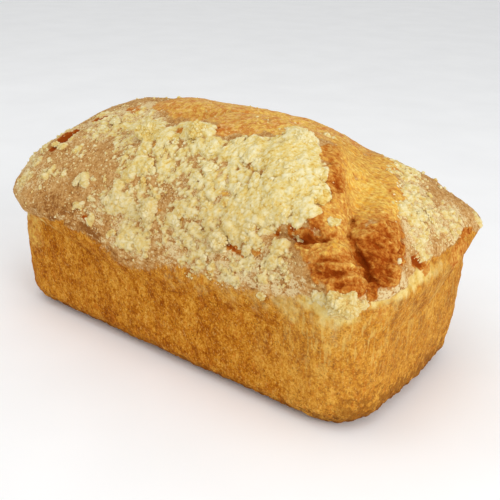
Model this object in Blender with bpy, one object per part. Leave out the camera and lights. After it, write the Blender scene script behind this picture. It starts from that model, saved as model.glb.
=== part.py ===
"""Loaf cake with a cracked crust and crumble topping, baked in a plain loaf tin.

Metres, +Z up. The origin is the middle of the flat base, on the surface the cake
stands on. +X is the end of the loaf with the open crack, -Y is the long side that
carries most of the crumble.

The body is one closed box of quads, laid over the form of the loaf: a flat base, a
rounded bottom edge, the tin's straight wall, the overhanging lip of batter that rose
above the tin, and the crown. Crack, folds, lobes and crumble beds are relief on it.
Small crumbs are fused to the crust. Lumps as large as a berry are pieces of their own.
"""
import math
import random

import bmesh
import bpy
import numpy as np
from mathutils import Matrix, Vector, noise

NAME = "LoafCake"

# ---- the tin's part of the loaf
BASE_HALF_LENGTH = 0.100
BASE_HALF_WIDTH = 0.0490
CORNER_RADIUS = 0.0212         # plan radius of the upright corners
BOTTOM_RADIUS = 0.0122         # rounding of the bottom edge
WALL_FLARE = 0.059             # outward lean of the wall for each metre of height
RIM_HEIGHT = 0.042             # where the tin ended

# ---- the lip of batter over the tin's rim
LIP_OVERHANG = 0.0030
LIP_RISE = 0.0085

# ---- the crown
EDGE_HEIGHT = 0.0105           # rounding between the lip and the crown
EDGE_WIDTH = 0.0200
CENTRE_RISE = 0.004            # base level of the crown over the mean lip level
CROWN_STATIONS = 9             # heights along the length, end to end
CROWN_HEIGHTS = (0.0570, 0.0450, 0.0380, 0.0392, 0.0396, 0.0434, 0.0426, 0.0400, 0.0370)
CROWN_SKEW = 0.062             # the ridge lies a little to the back
CROSS_POWER, CROSS_ROUND = 2.63, 0.873
LONG_POWER, LONG_ROUND = 2.99, 0.740

# Changes round the outline: (direction in degrees from +X, amount, half width in
# degrees), each a smooth bump. Directions are on the plan scaled to a square.
RIM_BUMPS = ((-150, 0.0100, 34), (35, 0.0130, 26), (-98, -0.0050, 20))
OVERHANG_BUMPS = ((-150, 0.0014, 32), (35, 0.0026, 30), (-10, 0.0020, 25),
                  (-85, -0.0010, 20), (-44, -0.0012, 14), (150, 0.0030, 40))
WAIST_BUMPS = ((-150, 0.0022, 35), (32, -0.0006, 22), (-10, 0.0004, 25), (150, 0.0012, 40))
BELLY_BUMPS = ((32, 0.0016, 22),)    # swelling of the wall's middle
RISE_BUMPS = ((35, 0.0018, 26), (-10, 0.0070, 22), (-44, 0.0085, 15),
              (-98, -0.0010, 18), (160, 0.0045, 35))
NOTCH = 0.20                   # 1 is a sharp notch under the lip, 0 a plain slant
NOTCH_BUMPS = ((-150, 0.50, 32), (35, -0.05, 28), (150, 0.60, 30))
SIDE_BULGE = ((0, 0.0018, 26), (-90, 0.0006, 35), (90, 0.0006, 35), (180, -0.0002, 26))
EDGE_HEIGHT_BUMPS = ((-150, -0.0085, 35), (35, -0.0070, 32))
EDGE_WIDTH_BUMPS = ((-150, -0.0100, 35), (35, -0.0100, 32))

# ---- mesh of the body
CELLS_LONG, CELLS_WIDE = 58, 32
SIDE_ROWS = (0.0, 0.05, 0.10, 0.15, 0.45, 0.75, 0.84, 0.92, 1.0)
ROUND_END, WALL_END = 0.15, 0.75   # of the side's rows: bottom edge, then wall
EASE = 0.18                    # draws the top's rows towards its edge
LEAN_LONG, LEAN_WIDE = 0.16, -0.16   # draws them to the cracked end and to the front

# ---- relief: lines as (x, y, z, half width, height); a negative height is a groove
CRACK = ((0.052, 0.030, 0.096, 0.0110, -0.0022), (0.066, 0.006, 0.096, 0.0110, -0.0036),
         (0.076, -0.012, 0.091, 0.0085, -0.0050), (0.082, -0.029, 0.086, 0.0050, -0.0048),
         (0.085, -0.037, 0.080, 0.0030, -0.0042), (0.090, -0.0385, 0.075, 0.0030, -0.0044),
         (0.096, -0.041, 0.069, 0.0036, -0.0040), (0.101, -0.043, 0.064, 0.0045, -0.0026))
UPPER_FOLD = ((0.052, -0.044, 0.076, 0.0018, -0.0012),
              (0.065, -0.0445, 0.0755, 0.0022, -0.0022),
              (0.076, -0.0425, 0.0775, 0.0028, -0.0030),
              (0.083, -0.040, 0.078, 0.0020, -0.0018))
LOBE_HOLLOW = ((0.080, -0.0485, 0.069, 0.0026, -0.0018), (0.089, -0.048, 0.067, 0.0026, -0.0016))
FRONT_GROOVE = ((0.041, -0.048, 0.069, 0.0020, -0.0014), (0.050, -0.049, 0.065, 0.0020, -0.0014))
RIGHT_NOTCH = ((0.099, -0.025, 0.070, 0.0022, -0.0026), (0.1035, -0.023, 0.065, 0.0026, -0.0030))
LEFT_RIDGE = ((0.058, -0.006, 0.101, 0.0050, 0.0020), (0.067, -0.020, 0.095, 0.0045, 0.0026),
              (0.075, -0.027, 0.089, 0.0035, 0.0022))
RIGHT_RIDGE = ((0.101, -0.040, 0.064, 0.0030, 0.0022), (0.1015, -0.031, 0.068, 0.0032, 0.0026),
               (0.1015, -0.025, 0.071, 0.0025, 0.0014))
LEFT_TEAR = ((-0.080, -0.034, 0.0800, 0.0024, -0.0010), (-0.0795, -0.028, 0.0835, 0.0030, -0.0020),
             (-0.0785, -0.019, 0.0865, 0.0024, -0.0012))
LINES = (CRACK, UPPER_FOLD, LOBE_HOLLOW, FRONT_GROOVE, RIGHT_NOTCH, LEFT_RIDGE, RIGHT_RIDGE,
         LEFT_TEAR)

# ---- relief: swellings as (x, y, z, radius, height)
SWELLINGS = (
    (0.0935, -0.0265, 0.0770, 0.0105, 0.0046),   # ball of crust right of the crack
    (0.0800, -0.0475, 0.0715, 0.0100, 0.0034),   # lobe left of the crack
    (0.0900, -0.0490, 0.0660, 0.0060, 0.0022),   # its lower end
    (0.0720, -0.0440, 0.0800, 0.0060, 0.0014),   # fold over it
    (0.0480, -0.0150, 0.1010, 0.0070, 0.0016),   # bed of the crest lump
    (0.0560, -0.0330, 0.0900, 0.0160, 0.0022),   # main crumble bed
    (-0.0220, -0.0260, 0.0940, 0.0130, 0.0014),  # left crumble beds
    (0.0040, -0.0250, 0.0980, 0.0110, 0.0016),
    (-0.0450, 0.0260, 0.0900, 0.0200, 0.0016),   # back slope
    (0.0350, 0.0330, 0.0900, 0.0180, 0.0016),
    (0.1000, 0.0080, 0.0740, 0.0140, 0.0010),    # shelf of the right end
)
CRUST_SWELL, CRUST_SWELL_SIZE = 0.0007, 0.022    # slow unevenness of the whole crust
CRAG_HEIGHT, CRAG_SIZE = 0.0008, 0.0065          # crags beside the crack
CRAG_CENTRE, CRAG_REACH = (0.086, -0.036, 0.077), 0.024
BED_HEIGHT, BED_BUMP, BED_SIZE = 0.0010, 0.0011, 0.0060   # crumble too fine to be pieces
WARP, WARP_SIZE = 0.0012, 0.009                  # wander of the relief's lines

# ---- where the crumble lies: (x, y, z, rx, ry, rz, share of the crust it covers)
CRUMBLE_PATCHES = (
    (0.057, -0.036, 0.088, 0.018, 0.010, 0.011, 1.00),
    (0.051, -0.024, 0.099, 0.014, 0.009, 0.006, 1.00),
    (0.033, -0.026, 0.097, 0.015, 0.007, 0.007, 0.85),
    (0.047, -0.016, 0.103, 0.008, 0.005, 0.004, 1.00),
    (0.005, -0.025, 0.099, 0.013, 0.009, 0.006, 1.00),
    (-0.010, -0.027, 0.095, 0.013, 0.007, 0.006, 0.95),
    (-0.030, -0.015, 0.095, 0.013, 0.009, 0.005, 0.75),
    (-0.017, -0.038, 0.083, 0.008, 0.005, 0.006, 0.90),
    (-0.024, -0.043, 0.074, 0.007, 0.004, 0.008, 0.90),
    (-0.028, -0.046, 0.068, 0.005, 0.004, 0.005, 0.80),
    (-0.006, -0.045, 0.070, 0.005, 0.004, 0.008, 0.80),
    (-0.002, -0.048, 0.064, 0.004, 0.003, 0.005, 0.70),
    (-0.012, -0.052, 0.054, 0.013, 0.006, 0.005, 0.60),
    (0.042, -0.045, 0.076, 0.012, 0.005, 0.007, 0.78),
    (0.038, -0.041, 0.084, 0.009, 0.006, 0.007, 0.75),
    (0.038, -0.048, 0.068, 0.005, 0.004, 0.004, 0.90),
    (0.061, -0.048, 0.070, 0.005, 0.004, 0.004, 0.85),
    (0.094, -0.009, 0.084, 0.007, 0.006, 0.005, 0.60),
    (0.098, 0.002, 0.079, 0.007, 0.006, 0.004, 0.65),
    (-0.046, -0.045, 0.073, 0.004, 0.003, 0.004, 0.80),
    (-0.064, -0.015, 0.092, 0.014, 0.009, 0.005, 0.50),
    (-0.078, -0.027, 0.084, 0.010, 0.008, 0.006, 0.50),
    (0.022, -0.046, 0.072, 0.014, 0.005, 0.009, 0.58),
    (0.018, -0.036, 0.088, 0.014, 0.007, 0.007, 0.55),
    (0.036, -0.051, 0.060, 0.030, 0.005, 0.007, 0.45),
    (-0.030, 0.040, 0.078, 0.050, 0.016, 0.016, 0.40),
    (0.045, 0.042, 0.076, 0.034, 0.014, 0.014, 0.45),
)
PATCH_EDGE = 0.7               # how soon a patch ends; the larger, the smaller it is

# ---- fused crumbs
CRUMB_COUNT = 132
CRUMB_LARGEST, CRUMB_SMALLEST = 0.0056, 0.0026   # diameters
CRUMB_SIZE_FALL = 2.0          # how fast the sizes fall from the largest
CRUMB_FLATNESS = 0.70          # height as a share of the width
CRUMB_SINK = 0.30              # of its radius, below the crust
CRUMB_SPACING = 0.42           # of the two diameters, centre to centre
CRUMB_JITTER = 0.26
CRUMB_GATHER = 2.0             # above 1, crumbs keep to the thick beds
CRUMB_SEED = 11

# ---- lumps as large as a berry: name, middle, half sizes, turn about Z in degrees,
# and how often the ball they start from is divided
LUMPS = (
    ("crumble_lump_corner", (0.0925, -0.0505, 0.0600), (0.0064, 0.0046, 0.0056), 38.0, 3),
    ("crumble_lump_crest", (0.0480, -0.0155, 0.1032), (0.0068, 0.0056, 0.0044), 20.0, 3),
    ("crumble_lump_back", (0.0025, -0.0235, 0.1000), (0.0058, 0.0050, 0.0050), 35.0, 3),
    ("crumble_lump_left", (-0.0250, -0.0250, 0.0955), (0.0070, 0.0054, 0.0040), 15.0, 3),
    ("crumble_lump_front", (0.0345, -0.0490, 0.0675), (0.0044, 0.0036, 0.0036), 10.0, 2),
    ("crumble_lump_low", (-0.0050, -0.0475, 0.0685), (0.0030, 0.0034, 0.0056), 0.0, 2),
)
LUMP_ROUGHNESS, LUMP_NODULE = 0.20, 0.0045       # nodules: share of the radius, size
GAP = 0.0003                   # between pieces that lie on each other

# ---- colours (linear RGB) and roughness
CRUST_COLOUR = (0.560, 0.305, 0.090)
CRUMBLE_COLOUR = (0.830, 0.720, 0.360)
CRUST_ROUGHNESS, CRUMBLE_ROUGHNESS = 0.72, 0.85


def clear_scene():
    """Empty the file of objects and of the data they used."""
    for obj in list(bpy.data.objects):
        bpy.data.objects.remove(obj, do_unlink=True)
    for block in (bpy.data.meshes, bpy.data.materials):
        for item in list(block):
            block.remove(item)
    for collection in list(bpy.data.collections):
        bpy.data.collections.remove(collection)


def new_collection(name):
    """Make a collection under the scene's own."""
    collection = bpy.data.collections.new(name)
    bpy.context.scene.collection.children.link(collection)
    return collection


def new_material(name, colour, roughness):
    """Make a plain material of one colour."""
    material = bpy.data.materials.new(name)
    material.use_nodes = True
    shader = material.node_tree.nodes["Principled BSDF"]
    shader.inputs["Base Color"].default_value = (*colour, 1.0)
    shader.inputs["Roughness"].default_value = roughness
    shader.inputs["Metallic"].default_value = 0.0
    material.diffuse_color = (*colour, 1.0)
    return material


def new_object(name, bm, collection, material=None):
    """Turn a bmesh into an object and free the bmesh."""
    mesh = bpy.data.meshes.new(name)
    bm.to_mesh(mesh)
    bm.free()
    mesh.shade_smooth()
    obj = bpy.data.objects.new(name, mesh)
    collection.objects.link(obj)
    if material:
        mesh.materials.append(material)
    return obj


# ---------------------------------------------------------------- form of the loaf
def round_bumps(theta, items):
    """Sum of smooth bumps round the outline, at the angles theta."""
    total = np.zeros_like(theta)
    for degrees, amount, half_width in items:
        turn = (theta - math.radians(degrees) + math.pi) % (2 * math.pi) - math.pi
        total += amount * np.exp(-(turn / math.radians(half_width)) ** 2)
    return total


def plan_point(u, v):
    """Point of the base plan and its outward direction, for a point of the square."""
    px, py = u * BASE_HALF_LENGTH, v * BASE_HALF_WIDTH
    inner_x, inner_y = BASE_HALF_LENGTH - CORNER_RADIUS, BASE_HALF_WIDTH - CORNER_RADIUS
    cx, cy = np.clip(px, -inner_x, inner_x), np.clip(py, -inner_y, inner_y)
    dx, dy = px - cx, py - cy
    reach = np.maximum(np.abs(dx), np.abs(dy))
    length = np.maximum(np.hypot(dx, dy), 1e-9)
    return cx + dx * reach / length, cy + dy * reach / length, dx / length, dy / length


def edge_direction(u, v):
    """Largest of |u| and |v|, and the plan's edge point, direction and angle there."""
    radius = np.maximum(np.maximum(np.abs(u), np.abs(v)), 1e-6)
    ex, ey, nx, ny = plan_point(u / radius, v / radius)
    return radius, nx, ny, np.arctan2(ey / BASE_HALF_WIDTH, ex / BASE_HALF_LENGTH)


def side_surface(u, v, row):
    """Points of the side: row 0 is the base's edge, 1 the lip's outermost line."""
    x, y, _, _ = plan_point(u, v)
    _, nx, ny, theta = edge_direction(u, v)
    rim = RIM_HEIGHT + round_bumps(theta, RIM_BUMPS)
    notch = np.clip(NOTCH + round_bumps(theta, NOTCH_BUMPS), 0, 1)
    turn = np.clip(row / ROUND_END, 0, 1) * math.pi / 2
    climb = np.clip((row - ROUND_END) / (WALL_END - ROUND_END), 0, 1)
    swing = np.clip((row - WALL_END) / (1 - WALL_END), 0, 1) * math.pi / 2
    out = (-BOTTOM_RADIUS * (1 - np.sin(turn))
           + WALL_FLARE * (RIM_HEIGHT - BOTTOM_RADIUS) * climb
           + round_bumps(theta, SIDE_BULGE)
           + round_bumps(theta, BELLY_BUMPS) * 4 * climb * (1 - climb)
           - round_bumps(theta, WAIST_BUMPS) * climb ** 3 * np.cos(swing)
           + (LIP_OVERHANG + round_bumps(theta, OVERHANG_BUMPS))
           * (notch * np.sin(swing) + (1 - notch) * (1 - np.cos(swing))))
    z = (BOTTOM_RADIUS * (1 - np.cos(turn)) + climb * (rim - BOTTOM_RADIUS)
         + (LIP_RISE + round_bumps(theta, RISE_BUMPS)) * (1 - np.cos(swing)))
    return np.stack([x + nx * out, y + ny * out, z], axis=-1)


def spread(u, v):
    """Move the mesh's even rows of a square to where the form needs them."""
    u = u + LEAN_LONG * (1 - u * u)
    v = v + LEAN_WIDE * (1 - v * v)
    return u + EASE * np.sin(math.pi * u), v + EASE * np.sin(math.pi * v)


def top_surface(u, v):
    """Points of the crown, from the lip's outermost line inwards."""
    x, y, _, _ = plan_point(u, v)
    radius, nx, ny, theta = edge_direction(u, v)
    out = (WALL_FLARE * (RIM_HEIGHT - BOTTOM_RADIUS) + LIP_OVERHANG
           + round_bumps(theta, OVERHANG_BUMPS) + round_bumps(theta, SIDE_BULGE)) * radius ** 4
    # depth inside the outline, for the rounding next to the lip
    ax = np.abs(u) * BASE_HALF_LENGTH - (BASE_HALF_LENGTH - CORNER_RADIUS)
    ay = np.abs(v) * BASE_HALF_WIDTH - (BASE_HALF_WIDTH - CORNER_RADIUS)
    depth = CORNER_RADIUS - np.maximum(ax, ay)
    share = np.clip(depth / (EDGE_WIDTH + round_bumps(theta, EDGE_WIDTH_BUMPS)), 0, 1)
    edge = ((EDGE_HEIGHT + round_bumps(theta, EDGE_HEIGHT_BUMPS))
            * np.sqrt(np.clip(1 - (1 - share) ** 2, 0, 1)))
    # the lip's own height fades into one level towards the middle
    lip = (RIM_HEIGHT + round_bumps(theta, RIM_BUMPS)
           + LIP_RISE + round_bumps(theta, RISE_BUMPS))
    weight = (1 - (1 - u * u) * (1 - v * v)) ** 1.5
    level = lip * weight + (RIM_HEIGHT + LIP_RISE + CENTRE_RISE) * (1 - weight)
    height = np.interp(u, np.linspace(-1, 1, CROWN_STATIONS), CROWN_HEIGHTS)
    across = np.clip(1 - np.abs(v - CROWN_SKEW * (1 - v * v)) ** CROSS_POWER, 0, 1)
    along = np.clip(1 - np.abs(u) ** LONG_POWER, 0, 1)
    crown = height * across ** CROSS_ROUND * along ** LONG_ROUND
    return np.stack([x + nx * out, y + ny * out, level + edge + crown], axis=-1)


def box_of_quads(cells_long, cells_wide, cells_high):
    """A closed box from -1 to 1, cut into rows of quads along each axis."""
    bm = bmesh.new()
    bmesh.ops.create_cube(bm, size=2.0)
    for axis, cells in enumerate((cells_long, cells_wide, cells_high)):
        along = [e for e in bm.edges
                 if abs((e.verts[0].co - e.verts[1].co)[axis]) > 1.9]
        bmesh.ops.subdivide_edges(bm, edges=along, cuts=cells - 1, use_grid_fill=True)
    return bm


def noise_field(points, size, seed):
    """Smooth noise of about -1 to 1 at each point; size is that of its swells."""
    shift = Vector((seed * 7.3, seed * 3.1, seed * 5.7))
    return np.array([noise.noise(Vector(p) / size + shift) for p in points])


def line_relief(points, line):
    """Height that one line of relief adds at each point."""
    nearest = np.full(len(points), np.inf)
    width = np.full(len(points), line[0][3])
    height = np.zeros(len(points))
    for start, end in zip(line[:-1], line[1:]):
        a, b = np.array(start), np.array(end)
        span = b[:3] - a[:3]
        share = np.clip((points - a[:3]) @ span / (span @ span), 0, 1)
        away = np.linalg.norm(points - (a[:3] + share[:, None] * span), axis=1)
        closer = away < nearest
        nearest = np.where(closer, away, nearest)
        width = np.where(closer, a[3] + share * (b[3] - a[3]), width)
        height = np.where(closer, a[4] + share * (b[4] - a[4]), height)
    return height * np.exp(-(nearest / width) ** 2)


def crust_relief(points):
    """Height of the crust's relief over the smooth form, at each point."""
    wander = np.stack([noise_field(points, WARP_SIZE, s) for s in (1, 2, 3)], axis=-1)
    moved = points + WARP * wander
    relief = CRUST_SWELL * noise_field(points, CRUST_SWELL_SIZE, 4)
    for line in LINES:
        relief += line_relief(moved, line)
    for x, y, z, radius, height in SWELLINGS:
        away = np.linalg.norm(moved - np.array((x, y, z)), axis=1)
        relief += height * np.exp(-(away / radius) ** 2)
    near = np.exp(-(np.linalg.norm(points - np.array(CRAG_CENTRE), axis=1) / CRAG_REACH) ** 4)
    relief += CRAG_HEIGHT * near * noise_field(points, CRAG_SIZE, 5)
    relief += crumble_cover(points) * (BED_HEIGHT + BED_BUMP * noise_field(points, BED_SIZE, 6))
    return relief * np.clip((points[:, 2] - BOTTOM_RADIUS) / 0.02, 0, 1)


def crumble_cover(points):
    """Share of the crust that crumble covers at each point, 0 to 1."""
    cover = np.zeros(len(points))
    for x, y, z, rx, ry, rz, share in CRUMBLE_PATCHES:
        away = (((points[:, 0] - x) / rx) ** 2 + ((points[:, 1] - y) / ry) ** 2
                + ((points[:, 2] - z) / rz) ** 2)
        cover = np.maximum(cover, share * np.exp(-PATCH_EDGE * away ** 2))
    return cover


def loaf_body(collection, material):
    """The loaf without crumbs: the box of quads laid over the form, then its relief."""
    bm = box_of_quads(CELLS_LONG, CELLS_WIDE, len(SIDE_ROWS) - 1)
    floor = [f for f in bm.faces if all(v.co.z < -0.999 for v in f.verts)]
    bmesh.ops.dissolve_faces(bm, faces=floor, use_verts=True)
    bm.verts.ensure_lookup_table()
    box = np.array([v.co for v in bm.verts])
    rows = np.interp((box[:, 2] + 1) / 2, np.linspace(0, 1, len(SIDE_ROWS)), SIDE_ROWS)
    on_side = np.maximum(np.abs(box[:, 0]), np.abs(box[:, 1])) > 0.999
    u, v = spread(box[:, 0], box[:, 1])
    side, top = side_surface(u, v, rows), top_surface(u, v)
    points = np.where(on_side[:, None], side, top)
    for vert, point in zip(bm.verts, points):
        vert.co = point
    bm.normal_update()
    relief = crust_relief(points)
    for vert, height in zip(bm.verts, relief):
        if vert.co.z > 1e-4:
            vert.co += vert.normal * float(height)
    # one set of triangles, so that the seats cut below match the crust exactly
    bmesh.ops.triangulate(bm, faces=bm.faces)
    bmesh.ops.recalc_face_normals(bm, faces=bm.faces)
    return new_object("loaf", bm, collection, material)


# ---------------------------------------------------------------- crumble
def lump_mesh(half_sizes, turn, roughness, nodule, seed, divisions):
    """One lump of crumble about the origin: a ball with nodules, scaled and turned."""
    bm = bmesh.new()
    bmesh.ops.create_icosphere(bm, subdivisions=divisions, radius=1.0)
    shift = Vector((seed * 1.7, seed * 2.3, seed * 3.9))
    bm.transform(Matrix.Diagonal((*half_sizes, 1.0)))
    for vert in bm.verts:
        vert.co *= 1 + 2 * roughness * noise.noise(vert.co / nodule + shift)
    bm.transform(Matrix.Rotation(math.radians(turn), 4, "Z"))
    return bm


def place_crumbs(body, collection):
    """Strew crumbs over the crust, the largest first, where the crumble lies."""
    rng = random.Random(CRUMB_SEED)
    mesh = body.data
    faces = [f for f in mesh.polygons if f.center.z > RIM_HEIGHT * 0.8]
    centres = np.array([f.center for f in faces])
    weights = np.array([f.area for f in faces]) * crumble_cover(centres) ** CRUMB_GATHER
    weights /= weights.sum()
    total = np.cumsum(weights)
    lumps = [(Vector(middle), max(half) * (1 + LUMP_ROUGHNESS)) for _, middle, half, _, _ in LUMPS]
    placed = []
    tries = 0
    while len(placed) < CRUMB_COUNT and tries < CRUMB_COUNT * 60:
        tries += 1
        order = len(placed) / CRUMB_COUNT
        size = (CRUMB_SMALLEST + (CRUMB_LARGEST - CRUMB_SMALLEST)
                * (1 - order) ** CRUMB_SIZE_FALL)
        face = faces[int(np.searchsorted(total, rng.random()))]
        corners = [mesh.vertices[i].co for i in face.vertices]
        a, b = rng.random(), rng.random()
        spot = (corners[0] * (1 - a) * (1 - b) + corners[1] * a * (1 - b)
                + corners[2 % len(corners)] * a * b + corners[-1] * (1 - a) * b)
        if any((spot - at).length < reach + size * 0.8 + 0.001 for at, reach in lumps):
            continue
        if any((spot - other).length < CRUMB_SPACING * (size + wide) for other, wide in placed):
            continue
        placed.append((spot, size))
        half = size / 2
        stretch = [half * rng.uniform(0.75, 1.3) for _ in range(3)]
        stretch[2] *= CRUMB_FLATNESS
        crumb = lump_mesh(stretch, rng.uniform(0, 360), CRUMB_JITTER, size, len(placed), 1)
        tilt = face.normal.to_track_quat("Z", "Y").to_matrix().to_4x4()
        lift = spot + face.normal * half * (CRUMB_FLATNESS - CRUMB_SINK)
        crumb.transform(Matrix.Translation(lift) @ tilt)
        new_object("crumb_%03d" % len(placed), crumb, collection)
    return len(placed)


def apply_boolean(target, operation, solver, operand=None, collection=None):
    """Add a Boolean to the target, apply it and leave the target a plain mesh."""
    cut = target.modifiers.new("join", "BOOLEAN")
    cut.operation = operation
    cut.solver = solver
    if collection is not None:
        cut.operand_type = "COLLECTION"
        cut.collection = collection
    else:
        cut.object = operand
    graph = bpy.context.evaluated_depsgraph_get()
    result = bpy.data.meshes.new_from_object(target.evaluated_get(graph))
    target.modifiers.clear()
    old = target.data
    target.data = result
    bpy.data.meshes.remove(old)
    result.name = target.name
    result.shade_smooth()


def keep_largest_body(obj):
    """Drop loose scraps: keep only the connected body with the most faces."""
    bm = bmesh.new()
    bm.from_mesh(obj.data)
    left = set(bm.faces)
    bodies = []
    while left:
        stack = [left.pop()]
        body = set(stack)
        while stack:
            for edge in stack.pop().edges:
                for face in edge.link_faces:
                    if face in left:
                        left.discard(face)
                        body.add(face)
                        stack.append(face)
        bodies.append(body)
    bodies.sort(key=len)
    scraps = [f for body in bodies[:-1] for f in body]
    if scraps:
        bmesh.ops.delete(bm, geom=scraps, context="FACES")
    bm.to_mesh(obj.data)
    bm.free()


def weld(obj, distance):
    """Merge vertices that a Boolean left closer together than the distance."""
    bm = bmesh.new()
    bm.from_mesh(obj.data)
    bmesh.ops.remove_doubles(bm, verts=bm.verts, dist=distance)
    bmesh.ops.dissolve_degenerate(bm, dist=distance, edges=bm.edges)
    bmesh.ops.triangulate(bm, faces=bm.faces)
    bm.to_mesh(obj.data)
    bm.free()


def seat_cutter(body, collection):
    """The bare loaf grown by the gap, to shape the undersides of the lumps."""
    bm = bmesh.new()
    bm.from_mesh(body.data)
    bm.normal_update()
    for vert in bm.verts:
        vert.co += vert.normal * GAP
    cutter = new_object("seat_cutter", bm, collection)
    cutter.hide_render = True
    cutter.display_type = "WIRE"
    return cutter


def main():
    """Build the loaf, fuse its crumbs and set the lumps on it."""
    clear_scene()
    parts = new_collection(NAME)
    cutters = new_collection(NAME + "_cutters")
    crumbs = new_collection(NAME + "_crumbs")
    crust = new_material("crust", CRUST_COLOUR, CRUST_ROUGHNESS)
    crumble = new_material("crumble", CRUMBLE_COLOUR, CRUMBLE_ROUGHNESS)

    body = loaf_body(parts, crust)
    cutter = seat_cutter(body, cutters)
    for number, (name, middle, half_sizes, turn, divisions) in enumerate(LUMPS):
        bm = lump_mesh(half_sizes, turn, LUMP_ROUGHNESS, LUMP_NODULE, number + 1, divisions)
        bm.transform(Matrix.Translation(middle))
        lump = new_object(name, bm, parts, crumble)
        apply_boolean(lump, "DIFFERENCE", "EXACT", operand=cutter)
        keep_largest_body(lump)

    place_crumbs(body, crumbs)
    apply_boolean(body, "UNION", "MANIFOLD", collection=crumbs)
    weld(body, 0.00005)
    keep_largest_body(body)
    for crumb in list(crumbs.objects):
        bpy.data.objects.remove(crumb, do_unlink=True)
    bpy.data.collections.remove(crumbs)


main()
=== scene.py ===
"""Looks of a loaf cake with a cracked crust and crumble topping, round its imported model.

Metres, +Z up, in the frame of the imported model: +X is the end with the open crack and
-Y the long side with most of the crumble. Places on the loaf are written in millimetres.
"""
import logging
import math
import random
from collections.abc import Callable, Iterable, Sequence
from dataclasses import dataclass, field, replace
from enum import Enum

import bmesh
import bpy
import numpy as np
from mathutils import Matrix, Vector, noise


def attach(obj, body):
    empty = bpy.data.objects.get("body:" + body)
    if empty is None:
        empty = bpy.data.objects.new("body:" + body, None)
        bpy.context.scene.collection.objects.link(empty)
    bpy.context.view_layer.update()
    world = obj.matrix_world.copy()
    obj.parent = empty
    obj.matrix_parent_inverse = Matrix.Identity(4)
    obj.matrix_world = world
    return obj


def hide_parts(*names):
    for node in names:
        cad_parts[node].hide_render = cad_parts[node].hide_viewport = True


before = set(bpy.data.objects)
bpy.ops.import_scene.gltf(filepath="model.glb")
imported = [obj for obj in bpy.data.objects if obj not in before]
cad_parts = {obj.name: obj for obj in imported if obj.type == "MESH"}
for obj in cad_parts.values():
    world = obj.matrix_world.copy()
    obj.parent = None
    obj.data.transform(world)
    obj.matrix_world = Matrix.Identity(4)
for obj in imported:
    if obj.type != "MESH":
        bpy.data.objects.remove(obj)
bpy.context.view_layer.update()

LOG = logging.getLogger("loaf_cake")
MM = 0.001
BASE_LEVEL = 1e-4              # a vertex lower than this stands on the floor and stays there
MEAN_NODULE = 0.6              # usual height of nodules, taken off so that they add no size
PLAIN_GRAIN = 0.7              # what a crumb without nodules has for their height

Points = np.ndarray            # x, y and z of each point, in metres
Values = np.ndarray            # one number for each point
Colour = tuple[float, float, float, float]
Stops = tuple[tuple[float, Colour], ...]
Row = tuple[float, ...]


class Mask(str, Enum):
    """What a piece's mesh carries for its finish, as one value a vertex."""

    EDGE = "edge"              # over the crust's lower edge, in widths of its soft border
    CRUMBLE = "crumble"        # share of crumble
    TORN = "torn"              # share of torn crumb
    BAKED = "baked"            # share of bare baked crust, torn crumb among it
    BAKE = "bake"              # how dark that is, 0 yellow to 1 deep brown; painted shade of the clefts is added to it
    GLOSS = "gloss"            # share of the smooth golden crust
    FLOUR = "flour"            # pale dusting
    DUSKY = "dusky"            # darker, greyer tan
    CREAM = "cream"            # pale, hardly baked wall
    HEIGHT = "fine_height"     # millimetres of fine relief
    GRAIN = "grain"            # 0 in the joints between a crumb's nodules, 1 on top of them; the finish paints shade in the joints and lighter tops
    TINT = "tint"              # of one crumb, 0 deep to 1 pale
    TOAST = "toast"            # 1 where a crumb is browned and painted in shade, at its foot


# ------------------------------------------------------------------ small helpers
def rgb(red: int, green: int, blue: int) -> Colour:
    """Linear colour of one that is given as on screen.

    Args:
        red: Red, 0 to 255.
        green: Green, 0 to 255.
        blue: Blue, 0 to 255.

    Returns:
        Linear red, green and blue, and an alpha of 1.
    """
    def linear(value: int) -> float:
        """Linear value of one channel."""
        share = value / 255
        return share / 12.92 if share <= 0.04045 else ((share + 0.055) / 1.055) ** 2.4
    return linear(red), linear(green), linear(blue), 1.0


def smooth_step(values: Values, low: float, high: float) -> Values:
    """Ease the values from 0 at low to 1 at high."""
    share = np.clip((values - low) / (high - low), 0, 1)
    return share * share * (3 - 2 * share)


def noise_field(points: Points, size: float, seed: int) -> Values:
    """Smooth noise of about -1 to 1 at each point; size is that of its swells."""
    shift = Vector((seed * 7.3, seed * 3.1, seed * 5.7))
    return np.array([noise.noise(Vector(p) / size + shift) for p in points])


def noise_sum(points: Points, parts: Iterable[Row]) -> Values:
    """Sum of layers of noise, each given by its height, size and seed."""
    return sum(height * noise_field(points, size, seed) for height, size, seed in parts)


def drift_field(points: Points, size: float, seeds: Iterable[int]) -> Points:
    """Noise of about -1 to 1 along each axis, from a seed for each."""
    return np.stack([noise_field(points, size, seed) for seed in seeds], axis=-1)


def nodule(place: Vector) -> float:
    """Height of uneven nodules.

    Args:
        place: Place in the pattern, in widths of a nodule.

    Returns:
        0 in the joints between the nodules, 0.5 to 1.5 on top of them.
    """
    near, seeds = noise.voronoi(place)
    rounded = min(1.0, (near[1] - near[0]) * 2.2) ** 0.6
    return rounded * (1 + 0.5 * noise.cell(seeds[0] * 9.7))


def nodule_field(points: Points, size: float, seed: int) -> Values:
    """Height of uneven nodules at each point."""
    shift = Vector((seed * 2.9, seed * 6.1, seed * 4.3))
    return np.array([nodule(Vector(p) / size + shift) for p in points])


def drawn_out(points: Points, run: Row) -> Points:
    """Move the points together along a run, so that noise there is longer.

    Args:
        points: Points in metres.
        run: Which way, with a length of how many times longer.

    Returns:
        The moved points.
    """
    along = np.array(run) / np.linalg.norm(run)
    share = 1 - 1 / np.linalg.norm(run)
    return points - share * (points @ along)[:, None] * along


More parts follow.
